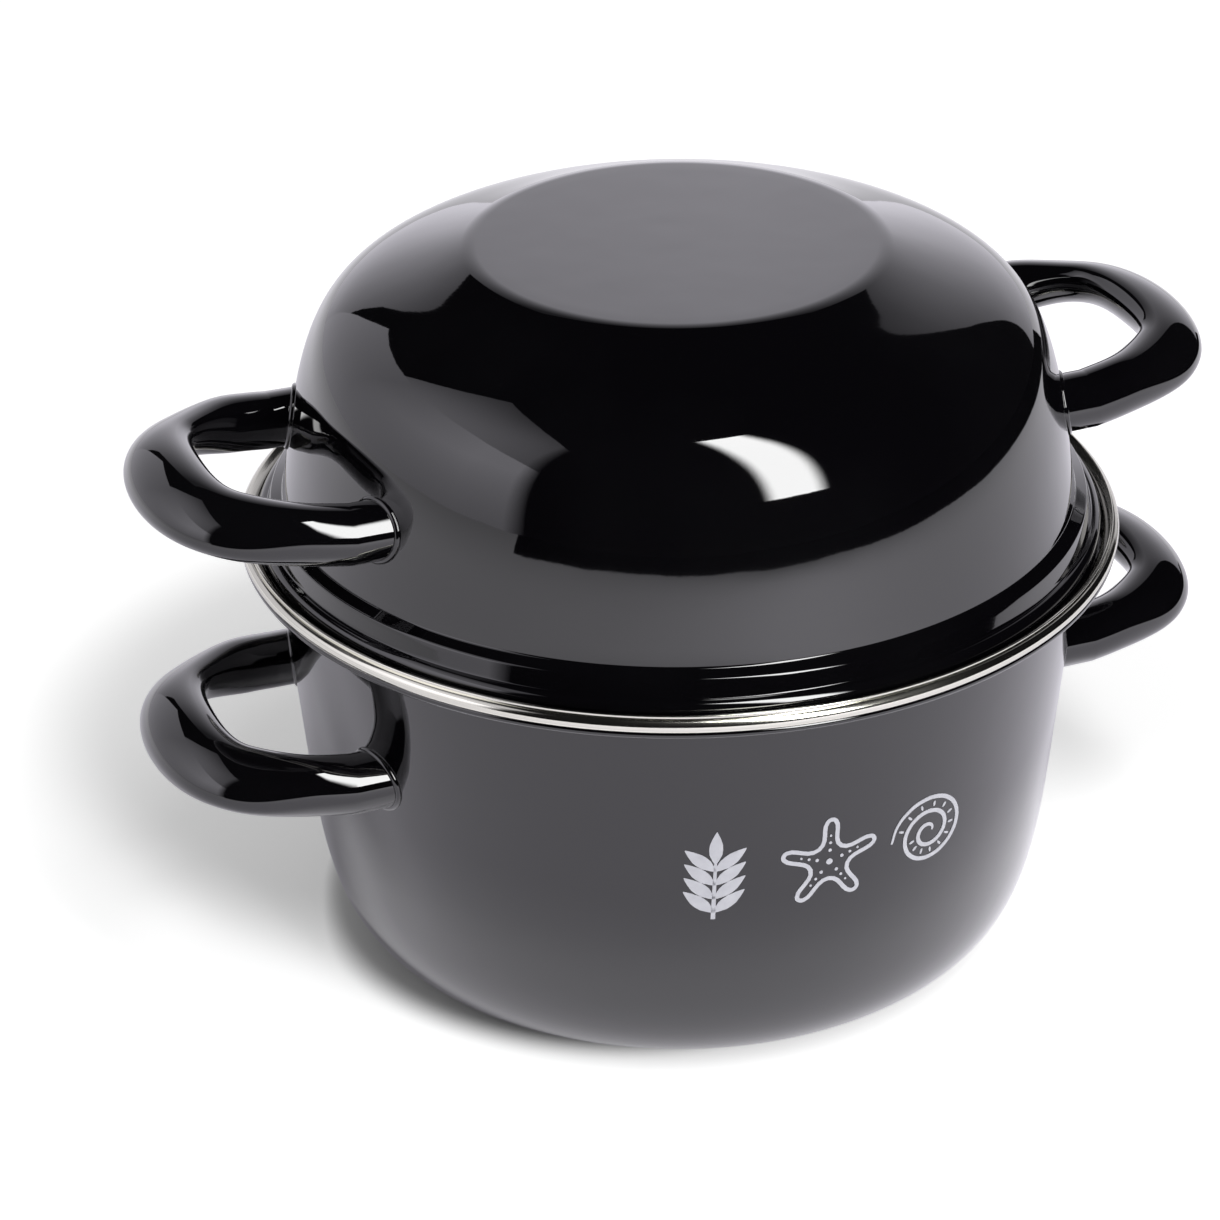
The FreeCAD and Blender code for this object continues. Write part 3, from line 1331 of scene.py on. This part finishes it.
    def clear_of_wall(self, wall: Piece) -> float:
        """Place along the legs where they are cut before they reach the wall.

        Args:
            wall: The shell that carries them.

        Returns:
            The place, in plan.
        """
        inner_side = self.root_span - self.leg_size[0] * self.side_margin
        low = self.height - self.wall_band[0] * self.leg_size[1]
        high = self.height + self.wall_band[1] * self.leg_size[1]
        radii = [
            vertex.co.xy.length for vertex in wall.data.vertices
            if low < vertex.co.z < high and vertex.co.xy.length > self.root
        ]
        return math.sqrt(max(radii) ** 2 - inner_side**2) + self.root_clearance

    def welds(self, tube: Piece) -> Piece:
        """Lays a round bead of weld along the end of each leg.

        Args:
            tube: The trimmed tube.

        Returns:
            The two beads as one piece.
        """
        edit(tube, "EDGE")
        pick_open_edges(tube)
        bpy.ops.mesh.duplicate()
        bpy.ops.mesh.separate(type="SELECTED")
        close()
        ends = [piece for piece in bpy.context.selected_objects if piece is not tube][0]
        pick(ends)
        bpy.ops.object.convert(target="CURVE")
        ends.data.bevel_depth = self.weld_bead
        ends.data.bevel_resolution = 5
        bpy.ops.object.convert(target="MESH")
        return bpy.context.object


# Print


@dataclass
class WallPrint:
    """Seaweed sprig, starfish and sea snail in raised white enamel on the pot's front."""

    pot: PotShell
    skin: float = 0.16 * MM
    bedding: float = 0.02 * MM
    drop: float = 47.5 * MM
    line: float = 1.1 * MM
    star_offset: float = -1.0 * MM
    star_radius: float = 13.0 * MM
    star_waist: float = 5.6 * MM
    star_arms: int = 5
    star_tip: float = 0.09
    star_tip_drop: float = 0.5 * MM
    star_dots: tuple[Pair, ...] = ((3.4 * MM, 0.9 * MM), (5.6 * MM, 0.75 * MM), (7.7 * MM, 0.6 * MM))
    star_middle_dot: float = 1.7 * MM
    snail_offset: float = 27.0 * MM
    snail_radius: float = 11.5 * MM
    snail_turns: float = 2.5
    snail_points: int = 14
    snail_start: float = 0.14
    snail_swell: Pair = (0.45, 4.0)
    snail_fade: Pair = (0.5, 7.0)
    snail_ribs: int = 13
    rib_span: Pair = (0.62, 0.98)
    rib_inset: float = 1.7
    rib_gap: float = 2.3
    rib_widths: Triple = (0.35, 0.6, 0.35)
    weed_offset: float = -29.0 * MM
    weed_height: float = 26.0 * MM
    weed_pairs: int = 4
    leaf_length: float = 9.5 * MM
    leaf_width: float = 3.2 * MM
    leaf_angle: float = 48.0
    leaf_shares: tuple[float, ...] = (0.0, 0.12, 0.3, 0.45, 0.6, 0.78, 0.92, 1.0)
    leaf_sizes: tuple[float, ...] = (0.12, 0.5, 0.92, 1.0, 0.95, 0.62, 0.28, 0.05)
    stem_points: int = 7
    stem_taper: float = 0.06
    brush_points: int = 5
    crisp_angle: float = 45.0
    pieces: list[Piece] = field(default_factory=list)

    def stroke(self, name: str, points: list[Vector], widths: list[float], closed: bool = False) -> None:
        """Paints one stroke as a flat ribbon in the drawing plane.

        Args:
            name: Name of the stroke.
            points: Its middle line, as across and up.
            widths: Its width at each point.
            closed: Whether it runs back to its start.
        """
        deselect_all()
        bpy.ops.curve.primitive_bezier_curve_add(location=(0, 0, 0))
        ribbon = named(name)
        ribbon.data.dimensions = "2D"
        ribbon.data.fill_mode = "NONE"
        ribbon.data.resolution_u = 6
        spline = ribbon.data.splines[0]
        spline.bezier_points.add(len(points) - len(spline.bezier_points))
        for knot, point, width in zip(spline.bezier_points, points, widths):
            knot.co = (point.x, point.y, 0)
            knot.handle_left_type = knot.handle_right_type = "AUTO"
            knot.radius = width
        spline.use_cyclic_u = closed
        ribbon.data.bevel_mode = "OBJECT"
        ribbon.data.bevel_object = self.brush()
        pick(ribbon)
        bpy.ops.object.convert(target="MESH")
        self.pieces.append(bpy.context.object)

    def brush(self) -> Piece:
        """The flat brush: a straight line one unit wide, with points across it.

        Returns:
            The brush, made the first time it is asked for.
        """
        known = bpy.data.objects.get("print_brush")
        if known:
            return known
        deselect_all()
        bpy.ops.curve.primitive_nurbs_path_add(location=(0, 0, 0))
        brush = named("print_brush")
        brush.data.splines.clear()
        across = brush.data.splines.new("POLY")
        across.points.add(self.brush_points - 1)
        for index, point in enumerate(across.points):
            point.co = (index / (self.brush_points - 1) - 0.5, 0, 0, 1)
        return brush

    def around(self, offset: float, radius: float, angle: float) -> Vector:
        """Point at an angle about the middle of a figure, in the drawing plane."""
        return Vector((offset + radius * math.cos(angle), radius * math.sin(angle)))

    def draw_star(self) -> None:
        """Starfish: an outline with soft tips, a dot in its middle and dots along its arms."""
        half_line = self.line / 2
        turn = math.pi / self.star_arms
        points = []
        for arm in range(self.star_arms):
            angle = math.pi / 2 + 2 * turn * arm
            for spread in (-self.star_tip, 0.0, self.star_tip):
                reach = self.star_radius - half_line - (self.star_tip_drop if spread else 0)
                points.append(self.around(self.star_offset, reach, angle + spread))
            points.append(self.around(self.star_offset, self.star_waist - half_line, angle + turn))
        self.stroke("star_outline", points, [self.line] * len(points), closed=True)
        for arm in range(self.star_arms):
            angle = math.pi / 2 + 2 * turn * arm
            for index, (reach, size) in enumerate(self.star_dots):
                self.dot(f"star_dot_{arm}_{index}", self.around(self.star_offset, reach, angle), size)
        self.dot("star_dot_middle", Vector((self.star_offset, 0)), self.star_middle_dot)

    def dot(self, name: str, middle: Vector, width: float) -> None:
        """Paints a small round dab.

        Args:
            name: Its name.
            middle: Its middle, as across and up.
            width: How wide it is.
        """
        deselect_all()
        bpy.ops.mesh.primitive_circle_add(
            vertices=20, radius=width / 2, fill_type="TRIFAN", location=(middle.x, middle.y, 0))
        dab = named(name)
        settle(dab)
        self.pieces.append(dab)

    def snail_place(self, share: float) -> Pair:
        """Radius and angle of the spiral.

        Args:
            share: Share of its turns, from its middle.

        Returns:
            The two.
        """
        radius = self.snail_radius * (self.snail_start + (1 - self.snail_start) * share)
        return radius, 2 * math.pi * self.snail_turns * share

    def draw_snail(self) -> None:
        """Sea snail: a spiral with short ribs across its last turn."""
        steps = round(self.snail_turns * self.snail_points)
        points, widths = [], []
        for index in range(steps + 1):
            share = index / steps
            radius, angle = self.snail_place(share)
            points.append(self.around(self.snail_offset, radius - self.line / 2, angle))
            swell = self.snail_swell[0] + self.snail_swell[1] * share
            fade = self.snail_fade[0] + self.snail_fade[1] * (1 - share)
            widths.append(self.line * min(1.0, swell, fade))
        self.stroke("snail_spiral", points, widths)
        pitch = self.snail_radius * (1 - self.snail_start) / self.snail_turns
        first, last = self.rib_span
        for index in range(self.snail_ribs):
            radius, angle = self.snail_place(first + (last - first) * index / (self.snail_ribs - 1))
            outer = radius - self.rib_inset * self.line
            inner = outer - pitch + self.rib_gap * self.line
            places = (inner, (inner + outer) / 2, outer)
            ends = [self.around(self.snail_offset, place, angle) for place in places]
            self.stroke(f"snail_rib_{index}", ends, [width * self.line for width in self.rib_widths])

    def leaf(self, name: str, root: Vector, angle: float) -> None:
        """Paints a pointed leaf.

        Args:
            name: Its name.
            root: Its root on the stem, as across and up.
            angle: The way it points, in radians.
        """
        ahead = Vector((math.cos(angle), math.sin(angle)))
        points = [root + ahead * self.leaf_length * share for share in self.leaf_shares]
        self.stroke(name, points, [self.leaf_width * size for size in self.leaf_sizes])

    def draw_weed(self) -> None:
        """Seaweed sprig: a stem with pairs of leaves and one leaf at its tip."""
        foot = -self.weed_height / 2
        top = self.weed_height / 2 - self.leaf_length
        steps = range(self.stem_points)
        rise = top - foot
        stem = [Vector((self.weed_offset, foot + rise * index / (self.stem_points - 1))) for index in steps]
        self.stroke("weed_stem", stem, [self.line * (1.0 - self.stem_taper * index) for index in steps])
        self.leaf("weed_tip", Vector((self.weed_offset, top)), math.pi / 2)
        spacing = rise / self.weed_pairs
        for index in range(self.weed_pairs):
            for side in (1, -1):
                angle = math.pi / 2 - side * math.radians(self.leaf_angle)
                root = Vector((self.weed_offset, foot + spacing * (index + 0.5)))
                self.leaf(f"weed_leaf_{index}_{side}", root, angle)

    def build(self, wall: Piece, enamel: Finish) -> Piece:
        """Draws the figures, lays them on the wall and fires them.

        Args:
            wall: The pot's finished shell.
            enamel: The white finish.

        Returns:
            The print as one piece.
        """
        self.draw_weed()
        self.draw_star()
        self.draw_snail()
        remove(self.brush())
        drawing = joined("front_print", self.pieces)
        height = self.pot.rim.height - self.drop
        upright = Matrix.Rotation(math.pi / 2, 4, "X")
        drawing.matrix_world = Matrix.Translation((0, -self.pot.rim.radius, height)) @ upright
        settle(drawing)
        edit(drawing)
        bpy.ops.mesh.remove_doubles(threshold=2 * SAME_PLACE)
        close()
        press_onto(drawing, wall, "y", ahead=True, lift=self.bedding)
        if sum(face.normal.y * face.area for face in drawing.data.polygons) > 0:
            flip(drawing)
        thicken(drawing, self.skin, offset=1.0)
        smooth(drawing, self.crisp_angle)
        finish_piece(drawing, Slot.PRINT, enamel, "wall_print")
        return drawing


# Studio


@dataclass(frozen=True)
class MirrorRoom:
    """What polished surfaces see around the table: two lit screens, a paler wall and a dark room.

    Angles are in degrees. Azimuth turns from +Y towards +X. A light of 1 is white.
    """

    back_middle: float = 23.0
    back_light: float = 1.20
    back_fade: float = 0.02
    back_lean: float = 0.2
    back_rise: Pair = (9.0, 50.0)
    back_low: float = 0.1
    back_left: Pair = (-9.0, -4.0)
    back_left_rise: Pair = (15.0, 24.0)
    back_right: float = 60.5
    back_right_lean: float = 0.24
    back_top: float = 50.0
    left_edges: Pair = (-114.5, -108.0)
    left_end: float = -9.0
    left_light: Pair = (0.60, 0.84)
    left_across: Pair = (-38.0, -92.0)
    left_rise: Pair = (-10.0, 24.0)
    left_facing: float = -59.0
    left_slope: float = 0.905
    wall_light: float = 0.92
    wall_middle: Pair = (-73.0, 38.0)
    wall_reach: Pair = (60.0, 33.0)
    wall_end: float = -31.0
    wall_facing: float = -62.0
    wall_slope: float = 2.15
    room_light: float = 0.006

    def under_top(self, sheet: NodeSheet, azimuth: Socket, rise: Socket, facing: float,
                  slope: float) -> Socket:
        """Mask of the directions below the level top edge of an upright screen.

        Args:
            sheet: The world's sheet.
            azimuth: Angle from +Y towards +X, in degrees.
            rise: Angle above the horizon, in degrees.
            facing: Azimuth of the screen's nearest place.
            slope: Height of its top edge there, per metre away.

        Returns:
            The mask.
        """
        turn = sheet.math("RADIANS", sheet.math("SUBTRACT", azimuth, facing))
        top = sheet.product(sheet.math("COSINE", turn), slope)
        return sheet.math("LESS_THAN", sheet.math("TANGENT", sheet.math("RADIANS", rise)), top)

    def left_part(self, sheet: NodeSheet, azimuth: Socket, end: float, under: Socket,
                  level: Socket) -> Socket:
        """Light of what stands to the left.

        Args:
            sheet: The world's sheet.
            azimuth: Angle from +Y towards +X, in degrees.
            end: Azimuth where it ends.
            under: Mask of the directions below its top edge.
            level: Its light.

        Returns:
            The light, and none outside it.
        """
        near_edge = sheet.ramp(azimuth, self.left_edges, (0.0, 1.0))
        inside = sheet.product(near_edge, sheet.math("LESS_THAN", azimuth, end))
        return sheet.product(sheet.product(inside, under), level)

    def back(self, sheet: NodeSheet, azimuth: Socket, rise: Socket) -> Socket:
        """Light of the back screen, which fades upwards and to both sides.

        Args:
            sheet: The world's sheet.
            azimuth: Angle from +Y towards +X, in degrees.
            rise: Angle above the horizon, in degrees.

        Returns:
            The light.
        """
        aside = sheet.math("ABSOLUTE", sheet.math("SUBTRACT", azimuth, self.back_middle))
        level = sheet.math("SUBTRACT", self.back_light, sheet.product(aside, self.back_fade))
        left_of_middle = sheet.math("MAXIMUM", sheet.math("SUBTRACT", self.back_middle, azimuth), 0.0)
        height = sheet.math("ADD", rise, sheet.product(left_of_middle, self.back_lean))
        fade = sheet.ramp(height, self.back_rise, (1.0, self.back_low))
        left = sheet.math("GREATER_THAN", azimuth, sheet.ramp(rise, self.back_left_rise, self.back_left))
        right_edge = sheet.math("SUBTRACT", self.back_right, sheet.product(rise, self.back_right_lean))
        inside = sheet.product(left, sheet.math("LESS_THAN", azimuth, right_edge))
        inside = sheet.product(inside, sheet.math("LESS_THAN", rise, self.back_top))
        return sheet.product(inside, sheet.product(level, fade))

    def left(self, sheet: NodeSheet, azimuth: Socket, rise: Socket) -> Socket:
        """Light of the left screen, which is whitest at its near end.

        Args:
            sheet: The world's sheet.
            azimuth: Angle from +Y towards +X, in degrees.
            rise: Angle above the horizon, in degrees.

        Returns:
            The light.
        """
        near = sheet.ramp(azimuth, self.left_across, (0.0, self.left_light[1]))
        level = sheet.product(near, sheet.ramp(rise, self.left_rise, (0.0, 1.0)))
        level = sheet.math("ADD", level, self.left_light[0])
        under = self.under_top(sheet, azimuth, rise, self.left_facing, self.left_slope)
        return self.left_part(sheet, azimuth, self.left_end, under, level)

    def wall(self, sheet: NodeSheet, azimuth: Socket, rise: Socket) -> Socket:
        """Light of the wall above the left screen, which fades away from its middle.

        Args:
            sheet: The world's sheet.
            azimuth: Angle from +Y towards +X, in degrees.
            rise: Angle above the horizon, in degrees.

        Returns:
            The light.
        """
        level = self.wall_light
        for value, middle, reach in zip((azimuth, rise), self.wall_middle, self.wall_reach):
            offset = sheet.math("DIVIDE", sheet.math("SUBTRACT", value, middle), reach)
            share = sheet.math("SUBTRACT", 1.0, sheet.product(offset, offset))
            level = sheet.product(sheet.math("MAXIMUM", share, 0.0), level)
        under = self.under_top(sheet, azimuth, rise, self.wall_facing, self.wall_slope)
        return self.left_part(sheet, azimuth, self.wall_end, under, level)

    def light(self, sheet: NodeSheet, azimuth: Socket, rise: Socket) -> Socket:
        """Light that a mirror sees.

        Args:
            sheet: The world's sheet.
            azimuth: Angle from +Y towards +X, in degrees.
            rise: Angle above the horizon, in degrees.

        Returns:
            The light, where 1 is white.
        """
        light = self.room_light
        for part in (self.wall, self.left, self.back):
            light = sheet.math("MAXIMUM", part(sheet, azimuth, rise), light)
        return light


@dataclass
class Studio:
    """White table with white screens behind and to the left, a dark room in front, and one strip lamp."""

    picture_width: float = 1220.0
    focal_pixels: float = 4000.0
    sensor: float = 36.0
    rim_radius: float = 112.0 * MM
    rim_height: float = 114.5 * MM
    distance: float = 9.25
    pitch: float = 28.54
    roll: float = -0.72
    view_turn: float = 20.9
    shift_across: float = -0.1579
    shift_up: float = -0.2529
    clip: Pair = (0.01, 50.0)
    floor_radius: float = 3.0
    table_colour: Triple = (0.9, 0.9, 0.9)
    table_roughness: float = 0.9
    table_middle: Pair = (-0.10, -0.20)
    table_radius: float = 1.12
    room: MirrorRoom = MirrorRoom()
    table_ends: Pair = (-113.5, 57.0)
    table_glow: float = 0.52
    # Painted shadows in the table's glow, each as middle, inner and outer radius, and the glow left inside;
    # the last is a painted contact shadow at the pot's foot.
    painted_shadows: tuple[tuple[Pair, float, float, float], ...] = (
        ((-0.020, 0.110), 0.100, 0.142, 0.24),
        ((0.150, 0.060), 0.030, 0.090, 0.24),
        ((-0.012, 0.012), 0.075, 0.087, 0.0),
    )
    # Painted gleams that only mirrors see: near the pot as where it ends, where it is full and its light; far
    # off as where it starts, where it is full and its light.
    near_painted_gleam: Triple = (0.165, 0.120, 0.27)
    far_painted_gleam: Triple = (0.32, 0.80, 0.24)
    fill: float = 0.42
    white: Triple = (1.0, 1.0, 1.0)
    mirror_tint: Triple = (0.99, 0.965, 1.05)
    strip_low: Triple = (0.215, -1.045, 0.432)
    strip_high: Triple = (0.075, -0.455, 1.786)
    strip_across: Triple = (0.975, 0.22, 0.0)
    strip_width: float = 0.38
    strip_power: float = 20.5
    strip_soft: float = 0.26

    def camera(self) -> None:
        """Places the camera at the photograph's viewpoint."""
        pitch = math.radians(self.pitch)
        place = Vector((
            self.shift_across,
            -self.distance * math.cos(pitch),
            self.shift_up + self.distance * math.sin(pitch),
        )) * self.rim_radius
        turn = Matrix.Rotation(-math.radians(self.view_turn), 4, "Z")
        data = bpy.data.cameras.new("camera")
        data.sensor_width = self.sensor
        data.lens = self.focal_pixels / self.picture_width * self.sensor
        data.clip_start, data.clip_end = self.clip
        camera = bpy.data.objects.new("camera", data)
        bpy.context.scene.collection.objects.link(camera)
        look = Matrix.Rotation(math.pi / 2 - pitch, 4, "X") @ Matrix.Rotation(math.radians(self.roll), 4, "Z")
        lift = Matrix.Translation((0, 0, self.rim_height))
        camera.matrix_world = lift @ turn @ Matrix.Translation(place) @ look
        bpy.context.scene.camera = camera

    def floor(self) -> None:
        """A white table that takes the shadow, with painted shadows beside the pot in the glow the eye sees,
        and painted gleams that only mirrors see. What mirrors it sees its rounded edge, and dark beyond.
        """
        deselect_all()
        bpy.ops.mesh.primitive_circle_add(
            vertices=96, radius=self.floor_radius, fill_type="NGON", location=(0, 0, 0))
        table = named("table_top")
        material, sheet, surface = new_material("table_white")
        surface.inputs["Roughness"].default_value = self.table_roughness
        surface.inputs["Specular IOR Level"].default_value = 0.0
        rays = sheet.add("ShaderNodeLightPath").outputs
        place = sheet.place()
        azimuth = sheet.azimuth(*sheet.parts(place)[:2])
        left_end = sheet.math("LESS_THAN", azimuth, self.table_ends[0])
        right_end = sheet.math("GREATER_THAN", azimuth, self.table_ends[1])
        no_screen = sheet.math("MAXIMUM", left_end, right_end)
        distance = self.distance_from(sheet, place, self.table_middle)
        beyond = sheet.product(sheet.math("GREATER_THAN", distance, self.table_radius), no_screen)
        hidden = sheet.product(beyond, rays["Is Glossy Ray"])
        colour = sheet.blend(hidden, self.table_colour, (self.room.room_light,) * 3)
        colour = sheet.blend(rays["Is Glossy Ray"], colour, self.mirror_tint, "MULTIPLY")
        sheet.join(colour, surface.inputs["Base Color"])
        glow = self.glow(sheet, place)
        seen = sheet.product(glow, rays["Is Camera Ray"])
        # Painted gleam on the table, for glossy rays alone.
        painted_gleam = sheet.product(self.painted_gleam(sheet, place, glow), rays["Is Glossy Ray"])
        painted_gleam = sheet.product(painted_gleam, sheet.math("SUBTRACT", 1.0, beyond))
        glow_colour = sheet.add("ShaderNodeCombineColor")
        for socket in glow_colour.inputs:
            sheet.join(sheet.math("ADD", seen, painted_gleam), socket)
        sheet.join(glow_colour.outputs[0], surface.inputs["Emission Color"])
        surface.inputs["Emission Strength"].default_value = 1.0
        table.data.materials.append(material)

    def distance_from(self, sheet: NodeSheet, place: Socket, middle: Pair) -> Socket:
        """Distance on the table.

        Args:
            sheet: The table's sheet.
            place: Where it is measured.
            middle: What it is measured from.

        Returns:
            The distance, in metres.
        """
        node = sheet.add("ShaderNodeVectorMath", operation="DISTANCE")
        sheet.join(place, node.inputs[0])
        node.inputs[1].default_value = (*middle, 0.0)
        return node.outputs["Value"]

    def glow(self, sheet: NodeSheet, place: Socket) -> Socket:
        """How much whiter the table looks to the eye, lowered in painted shadows beside the pot and down to
        none in a painted contact shadow at its foot.

        Args:
            sheet: The table's sheet.
            place: The place on the table.

        Returns:
            The added light.
        """
        level = self.table_glow
        # Each painted shadow lowers the glow towards its middle.
        for middle, inner, outer, low in self.painted_shadows:
            distance = self.distance_from(sheet, place, middle)
            painted_shade = sheet.ramp(distance, (inner, outer), (low, self.table_glow), soft=True)
            level = sheet.math("MINIMUM", painted_shade, level)
        return level

    def painted_gleam(self, sheet: NodeSheet, place: Socket, glow: Socket) -> Socket:
        """Painted light that only mirrors see on the table: a painted gleam close to the pot, outside the
        painted shadows, and another far away.

        Args:
            sheet: The table's sheet.
            place: The place on the table.
            glow: The light that the eye sees added there, low in the painted shadows.

        Returns:
            The added light.
        """
        distance = self.distance_from(sheet, place, (0.0, 0.0))
        near = sheet.ramp(distance, self.near_painted_gleam[1::-1], (self.near_painted_gleam[2], 0.0), soft=True)
        # Share of the full glow, so that the painted gleam stays out of the painted shadows.
        clear = sheet.ramp(glow, (self.painted_shadows[0][-1], self.table_glow), (0.0, 1.0))
        far = sheet.ramp(distance, self.far_painted_gleam[:2], (0.0, self.far_painted_gleam[2]), soft=True)
        return sheet.math("ADD", sheet.product(near, clear), far)

    def world(self) -> None:
        """White for the eye, screens and a dark room for what mirrors them, and an even soft light."""
        world = bpy.data.worlds.new("studio")
        bpy.context.scene.world = world
        world.use_nodes = True
        world.node_tree.nodes.clear()
        sheet = NodeSheet(world.node_tree)
        x, y, z = sheet.parts(sheet.place("Generated"))
        rise = sheet.math("DEGREES", sheet.math("ARCSINE", z))
        mirrored = self.room.light(sheet, sheet.azimuth(x, y), rise)
        rays = sheet.add("ShaderNodeLightPath").outputs
        glossy = sheet.math("MAXIMUM", rays["Is Glossy Ray"], rays["Is Transmission Ray"])
        lit = sheet.blend(glossy, self.fill, mirrored)
        background = sheet.add("ShaderNodeBackground")
        sheet.join(sheet.blend(glossy, self.white, self.mirror_tint), background.inputs["Color"])
        sheet.join(sheet.blend(rays["Is Camera Ray"], lit, 1.0), background.inputs["Strength"])
        output = sheet.add("ShaderNodeOutputWorld")
        sheet.join(background.outputs[0], output.inputs["Surface"])

    def strip_lamp(self) -> None:
        """A long soft box that leans over the pot from the front right."""
        low = Vector(self.strip_low)
        high = Vector(self.strip_high)
        middle = (low + high) / 2
        along = (high - low).normalized()
        across = Vector(self.strip_across).normalized()
        outward = across.cross(along).normalized()
        data = bpy.data.lights.new("strip_lamp", "AREA")
        data.shape = "RECTANGLE"
        data.size = self.strip_width
        data.size_y = (high - low).length
        data.energy = self.strip_power
        data.use_nodes = True
        sheet = NodeSheet(data.node_tree)
        share = sheet.parts(sheet.add("ShaderNodeNewGeometry").outputs["Parametric"])[0]
        from_middle = sheet.math("ABSOLUTE", sheet.math("SUBTRACT", share, 0.5))
        side = sheet.ramp(from_middle, (0.5 - self.strip_soft, 0.5), (1.0, 0.0), soft=True)
        sheet.join(side, data.node_tree.nodes["Emission"].inputs["Strength"])
        lamp = bpy.data.objects.new("strip_lamp", data)
        turned = Matrix((across, along, outward)).transposed().to_4x4()
        lamp.matrix_world = Matrix.Translation(middle) @ turned
        lamp.visible_camera = False
        bpy.context.scene.collection.objects.link(lamp)

    def build(self) -> None:
        """Sets up the camera, the table, the surround and the lamp."""
        bpy.context.scene.view_settings.view_transform = "Standard"
        self.camera()
        self.floor()
        self.world()
        self.strip_lamp()


def main() -> None:
    """Builds the pot, its lid, handles and print, and the studio around them."""
    logging.basicConfig(level=logging.INFO, format="%(message)s")
    effects = Effects(flow_group(), handling_group(), ring_grain_group())
    enamel = Enamel().material(effects)
    steel = PolishedSteel().material(effects)
    white = FiredPrint().material(effects)

    rim = SteelRim()
    rim.build(steel)
    rim.edge_roll(enamel)
    pot = PotShell(rim)
    pot_body = pot.build(enamel)
    lid = LidShell(rim)
    lid_dome = lid.build(enamel)

    root_inset = 12.0 * MM
    pot_loops = HandleLoop(
        owner="pot", root=pot.wall_top.x - root_inset - pot.wall_taper / 2,
        reach=rim.radius + 21.8 * MM, height=rim.height - 40.5 * MM, tilt=5.2)
    pot_loops.build(pot_body, enamel)
    lid_loops = HandleLoop(
        owner="lid", root=lid.shoulder.x - root_inset,
        reach=rim.radius + 21.2 * MM, height=lid.seat + 26.8 * MM, tilt=7.9)
    lid_loops.build(lid_dome, enamel)
    WallPrint(pot).build(pot_body, white)

    Studio().build()


if __name__ == "__main__":
    main()
